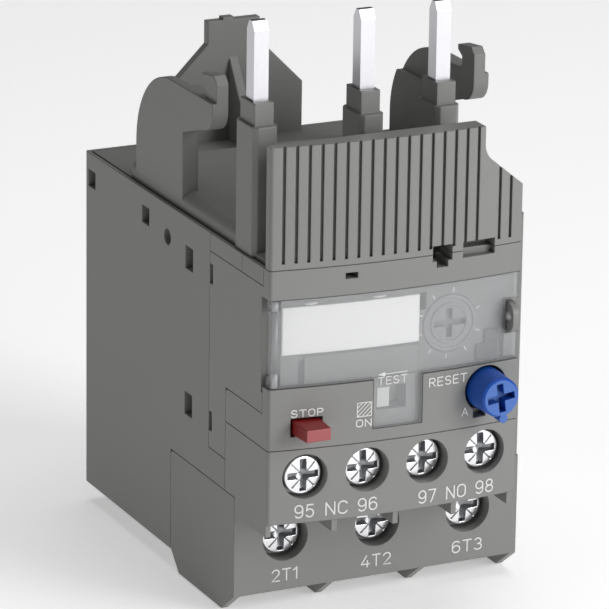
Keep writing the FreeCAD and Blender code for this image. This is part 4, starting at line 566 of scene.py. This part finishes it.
def printed(name, text, left, base, width, height, body, plane=None, weight=0.21):
    """White lettering of even strokes on the bowed front or on a flat plane.

    left, base, width, height and the stroke's weight are in millimetres from the relay's
    corner; plane is a flat Y in millimetres, or None for the bow. A point (u, v) of a letter
    goes to (left + u, front(left + u) - CLEAR, base + v), and its twin lies INK in front.
    Of every three strokes each lies 0.008 mm over the one before, and each rises 0.004 mm
    along its length, so that strokes that cross are never level.
    """
    total = sum(LETTERS[c][0] for c in text)
    gap = 0.0 if len(text) == 1 else 0.26
    unit = (width - weight) / (total + gap * (len(text) - 1))
    start, blocks, faces, count, layer = 0.0, [], [], 0, 0
    for letter in text:
        wide, strokes = LETTERS[letter]
        for points in strokes:
            placed = np.stack([(start + points[:, 0]) * unit + weight / 2,
                               points[:, 1] * (height - weight) + weight / 2], axis=1)
            a, b = ribbon(placed, weight)
            flat = np.concatenate([a, b])
            x = CORNER[0] + (left + flat[:, 0]) * MM
            z = CORNER[2] + (base + flat[:, 1]) * MM
            if plane is None:
                ground = front_depth(x)
            else:
                ground = np.full_like(x, CORNER[1] + plane * MM)
            rise = (0.008 * layer + 0.004 * np.tile(np.linspace(0, 1, len(a)), 2)) * MM
            near, far = ground - (CLEAR + INK) * MM - rise, ground - CLEAR * MM - rise
            layer = (layer + 1) % 3
            blocks += [np.stack([x, near, z], axis=1), np.stack([x, far, z], axis=1)]
            n = len(a)
            A, B, C, D = count, count + n, count + 2 * n, count + 3 * n
            for i in range(n - 1):
                faces += [(B + i, B + i + 1, A + i + 1, A + i),
                          (C + i, C + i + 1, D + i + 1, D + i),
                          (A + i, A + i + 1, C + i + 1, C + i),
                          (D + i, D + i + 1, B + i + 1, B + i)]
            faces += [(A, C, D, B), (B + n - 1, D + n - 1, C + n - 1, A + n - 1)]
            count += 4 * n
        start += wide + gap
    made = mesh_object(name, np.concatenate(blocks), faces, print_white, smooth=False)
    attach(made, body)
    return made


def printed_bars(name, bars, body, inset=0.0, material=print_white):
    """Thin printed strokes on the bow; each bar is four corners (x, z) in millimetres.

    Every corner (x, z) becomes a near and a far point at front(x) + inset, INK apart.
    """
    corners = np.array(bars)
    x = CORNER[0] + corners[..., 0] * MM
    z = CORNER[2] + corners[..., 1] * MM
    far = front_depth(x) + (inset - CLEAR) * MM
    near = far - INK * MM
    points = np.stack([np.stack([x, near, z], axis=-1), np.stack([x, far, z], axis=-1)], axis=1)
    points = points.reshape(-1, 3)
    shape = [(0, 1, 2, 3), (7, 6, 5, 4), (0, 4, 5, 1), (1, 5, 6, 2), (2, 6, 7, 3), (3, 7, 4, 0)]
    faces = [tuple(8 * n + i for i in face) for n in range(len(bars)) for face in shape]
    made = mesh_object(name, points, faces, material, smooth=False)
    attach(made, body)
    return made


def stroke(x0, z0, x1, z1, width):
    """Corners of a straight stroke of a given width between two places."""
    along = np.array([x1 - x0, z1 - z0])
    side = np.array([along[1], -along[0]]) / np.hypot(*along) * width / 2
    a, b = np.array([x0, z0]), np.array([x1, z1])
    return [a + side, b + side, b - side, a - side]


# each with its left edge, base line, width and height in millimetres from the relay's corner
printed("word_stop", "STOP", 3.15, 30.3, 4.7, 1.15, "casing", weight=0.18)
printed("word_reset", "RESET", 23.7, 32.45, 6.05, 1.35, "casing", weight=0.16)
printed("letter_automatic", "A", 29.0, 27.4, 1.05, 1.25, "casing", weight=0.14)
printed("word_on", "ON", 12.65, 27.95, 2.35, 1.15, "casing", weight=0.16)
printed("word_test", "TEST", 15.8, 33.75, 4.5, 1.2, "window", weight=0.12)
for label, left, width in (("95", 3.84, 2.88), ("NC", 8.34, 3.3), ("96", 13.13, 2.97)):
    printed(f"mark_{label}", label, left, 15.45, width, 2.0, "casing")
for label, left, width in (("97", 22.4, 2.8), ("NO", 26.8, 3.2), ("98", 31.55, 2.95)):
    printed(f"mark_{label}", label, left, 15.35, width, 2.0, "casing")
block_front = (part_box("main_terminal_block")[0][1] - CORNER[1]) / MM
for label, left, width in (("2T1", 5.9, 4.1), ("4T2", 20.0, 4.8), ("6T3", 34.6, 4.9)):
    printed(f"mark_{label}", label, left, 1.55, width, 1.9, "casing", plane=block_front)

# hatched square above ON: a frame and five diagonal strokes, which rise 0.97 mm in a millimetre
square_low, square_high = 29.5, 31.5
square = [stroke(12.75, z, 15.0, z, 0.13) for z in (square_low, square_high)]
square += [stroke(x, square_low, x, square_high, 0.13) for x in (12.82, 14.93)]
hatch_left, hatch_right = 12.85, 14.9
for shift in (-1.3, -0.65, 0.0, 0.65, 1.3):
    low_x, high_x = max(hatch_left, hatch_left + shift), min(hatch_right, hatch_right + shift)
    square.append(stroke(low_x, square_low + (low_x - hatch_left - shift) * 0.97,
                         high_x, square_low + (high_x - hatch_left - shift) * 0.97, 0.12))
printed_bars("hatched_square", square, "casing")
# arrow over the test slider: a shaft and a head
arrow = [stroke(16.2, 35.3, 20.3, 35.35, 0.1),
         [(15.8, 35.3), (16.9, 34.98), (16.9, 35.3), (16.9, 35.62)]]
printed_bars("test_arrow", arrow, "window")
# scale ticks round the dial's centre, on the recess floor
scale_centre = np.array([27.4, 41.0])
tick_inner, tick_outer = 4.45, 5.2
ticks = []
for degrees in (122, 83, 231, 265, 303, 160, 195, 20, -20):
    along = np.array([math.cos(math.radians(degrees)), math.sin(math.radians(degrees))])
    ticks.append(stroke(*(scale_centre + along * tick_inner),
                        *(scale_centre + along * tick_outer), 0.14))
printed_bars("dial_ticks", ticks, "casing", inset=1.38, material=tick_white)

# painted shade: thin dark sheets on the floors of the stepped pocket at the right of the recess
# # and of the groove beside the ledge
printed_bars("stepped_pocket_shade_sheet", [
    [(31.7, 34.8), (35.2, 34.8), (35.2, 37.3), (31.7, 37.3)],
    [(33.0, 37.3), (35.2, 37.3), (35.2, 39.3), (33.0, 39.3)],
], "casing", inset=1.14, material=pocket_painted_shade)
printed_bars("ledge_groove_shade_sheet", [
    [(4.8, 34.8), (5.5, 34.8), (5.5, 37.9), (4.8, 37.9)],
    [(4.8, 37.9), (13.0, 37.9), (13.0, 37.96), (4.8, 38.05)],
], "casing", inset=1.36, material=pocket_painted_shade)


# ---------------------------------------------------------------- dial and label details

def ring(name, centre, inner, outer, front, back, body, material):
    """A closed ring about the Y axis with a rounded front.

    Its section runs round (r, y): r = middle + half cos t, y = back + (front - back) sin t for
    t from 0 to 180 degrees, closed along y = back.
    """
    count = 96
    t = np.radians(np.linspace(0, 180, 13))
    middle, half = (inner + outer) / 2, (outer - inner) / 2
    r, y = middle + half * np.cos(t), back + (front - back) * np.sin(t)
    angle = 2 * np.pi * np.arange(count) / count
    points = np.stack([centre[0] + r[:, None] * np.cos(angle), y[:, None] + 0 * angle,
                       centre[1] + r[:, None] * np.sin(angle)], axis=-1).reshape(-1, 3)
    n = len(t)
    faces = [(i * count + j, i * count + (j + 1) % count,
              (i + 1) % n * count + (j + 1) % count, (i + 1) % n * count + j)
             for i in range(n) for j in range(count)]
    made = mesh_object(name, points, faces, material)
    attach(made, body)
    return made


dial_low, dial_high = (np.array(corner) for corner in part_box("setting_dial"))
dial_centre = ((dial_low[0] + dial_high[0]) / 2, (dial_low[2] + dial_high[2]) / 2)
# each with its inner and outer radius and how far it stands proud of the dial, in millimetres
for name, inner, outer, proud in (("dial_rim", 3.55, 4.15, 0.2),
                                  ("dial_inner_rim", 2.5, 3.0, 0.22)):
    ring(name, dial_centre, inner * MM, outer * MM, dial_low[1] - proud * MM,
         dial_low[1] + 0.05 * MM, "dial", dial_grey)


def oval_catch(name, x, z, wide, tall):
    """A small dome on the recess floor, white all over as a painted glint.

    Its points lie at (x + wide / 2 cos a sin t, front + foot - rise cos t, z + tall / 2 sin a
    sin t) for a round the circle and t from 90 degrees at the foot to 0 at the top.
    """
    foot, rise = 1.4 * MM, 0.42 * MM
    count, rings = 32, 8
    a = 2 * np.pi * np.arange(count) / count
    t = np.radians(np.linspace(90, 0, rings + 1))[:-1]
    px = (x + wide / 2 * np.sin(t)[:, None] * np.cos(a)) * MM + CORNER[0]
    pz = (z + tall / 2 * np.sin(t)[:, None] * np.sin(a)) * MM + CORNER[2]
    py = front_depth(px) + foot - rise * np.cos(t)[:, None]
    middle_x = CORNER[0] + x * MM
    ends = [[middle_x, front_depth(middle_x) + depth, CORNER[2] + z * MM]
            for depth in (foot, foot - rise)]
    points = np.concatenate([np.stack([px, py, pz], axis=-1).reshape(-1, 3), ends])
    faces = [face[::-1] for face in ring_faces(rings, count)]
    made = mesh_object(name, points, faces, slider_white)
    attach(made, "casing")


def hinge_rib(name, x, half, height, z_low, z_high, material):
    """A half-round rib up the cover's left edge.

    Its section is y = front(x) - height cos(pi u / 2) at x + half u, for u from -1 to 1.
    """
    u = np.linspace(-1, 1, 13)
    px = CORNER[0] + (x + half * u) * MM
    py = front_depth(px) + 0.02 * MM - height * np.cos(np.pi * u / 2) * MM
    back_y = front_depth(px) + 0.06 * MM
    rows = []
    for z in (z_low, z_high):
        pz = np.full_like(px, CORNER[2] + z * MM)
        rows += [np.stack([px, py, pz], axis=1), np.stack([px, back_y, pz], axis=1)]
    n = len(u)
    faces = []
    for i in range(n - 1):
        faces += [(i, i + 1, 2 * n + i + 1, 2 * n + i),
                  (n + i + 1, n + i, 3 * n + i, 3 * n + i + 1),
                  (i + 1, i, n + i, n + i + 1),
                  (2 * n + i, 2 * n + i + 1, 3 * n + i + 1, 3 * n + i)]
    faces += [(0, 2 * n, 3 * n, n), (2 * n - 1, 4 * n - 1, 3 * n - 1, n - 1)]
    made = mesh_object(name, np.concatenate(rows), faces, material)
    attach(made, "window")


# the rib between its two thicker ends: place, half width and height, then from z to z
hinge_rib("hinge_band", 0.8, 0.42, 0.08, 37.0, 45.9, hinge_band)
hinge_rib("hinge_end_low", 0.8, 0.42, 0.12, 34.85, 37.0, hinge_end)
hinge_rib("hinge_end_high", 0.8, 0.42, 0.12, 45.9, 47.15, hinge_end)
# the catches over the label: their white is a painted glint of the light they catch
oval_catch("label_catch_glint_left", 6.4, 46.3, 2.0, 0.5)
oval_catch("label_catch_glint_right", 16.5, 46.3, 2.0, 0.5)


# ---------------------------------------------------------------- setting

def area_light(name, place, target, size, power):
    """A square soft white light at place that looks at target."""
    lamp = bpy.data.lights.new(name, "AREA")
    lamp.size = size
    lamp.energy = power
    made = bpy.data.objects.new(name, lamp)
    made.location = place
    made.rotation_euler = (Vector(target) - Vector(place)).to_track_quat("-Z", "Y").to_euler()
    bpy.context.scene.collection.objects.link(made)


# a wide pale floor just under the relay, with a faint glow that lifts it to a studio white
floor_reach = 4.0
floor_mesh = bpy.data.meshes.new("floor")
floor_mesh.from_pydata([(x * floor_reach, y * floor_reach, 0)
                        for x, y in ((-1, -1), (1, -1), (1, 1), (-1, 1))], [], [(0, 1, 2, 3)])
floor = bpy.data.objects.new("floor", floor_mesh)
floor.location.z = -0.2 * MM
bpy.context.scene.collection.objects.link(floor)
floor_white = moulded("painted_floor_white", "F8F8F8", roughness=0.8, grain=2.0, depth=0.01,
                      patch=0.005, crevice=0.0)
glow = next(node for node in floor_white.node_tree.nodes if node.type == "BSDF_PRINCIPLED")
glow.inputs["Emission Color"].default_value = srgb("FFFFFF")
glow.inputs["Emission Strength"].default_value = 0.36
floor_mesh.materials.append(floor_white)

# where each light stands and its size, in metres, and its power in watts
middle = (0.0, 0.0, 0.04)
area_light("key_right", (0.62, -0.85, 0.50), middle, 0.6, 7.6)
area_light("front_low", (0.35, -0.95, 0.12), middle, 0.6, 3.2)
area_light("top_soft", (0.10, 0.05, 0.95), middle, 0.8, 3.5)
area_light("left_soft", (-0.85, -0.25, 0.60), middle, 0.7, 0.8)

# a faint even light from all round
world = bpy.data.worlds.new("studio")
world.use_nodes = True
background = world.node_tree.nodes["Background"]
background.inputs["Color"].default_value = (1.0, 1.0, 1.0, 1.0)
background.inputs["Strength"].default_value = 0.06
bpy.context.scene.world = world
bpy.context.scene.view_settings.view_transform = "Standard"

# camera: azimuth, elevation and roll in degrees, then its place across, down and back in mm
azimuth, elevation, roll = (math.radians(a) for a in (-25.79, 18.08, -0.844))
across, down_shift, distance = 5.40, -44.70, 681.4
back = np.array([math.sin(azimuth) * math.cos(elevation), -math.cos(azimuth) * math.cos(elevation),
                 math.sin(elevation)])
right = np.cross(-back, (0, 0, 1))
right /= np.linalg.norm(right)
down = np.cross(-back, right)
turned_right = math.cos(roll) * right + math.sin(roll) * down
turned_down = -math.sin(roll) * right + math.cos(roll) * down
eye = across * turned_right + down_shift * turned_down + distance * back
focal_over_width = 4888.0 / 609
camera_data = bpy.data.cameras.new("camera")
camera_data.sensor_width = 36.0
camera_data.lens = focal_over_width * camera_data.sensor_width
camera_data.clip_end = 20.0
camera = bpy.data.objects.new("camera", camera_data)
rows = np.stack([turned_right, -turned_down, back], axis=1)
matrix = Matrix(rows.tolist()).to_4x4()
matrix.translation = Vector((CORNER + eye * MM).tolist())
camera.matrix_world = matrix
bpy.context.scene.collection.objects.link(camera)
bpy.context.scene.camera = camera
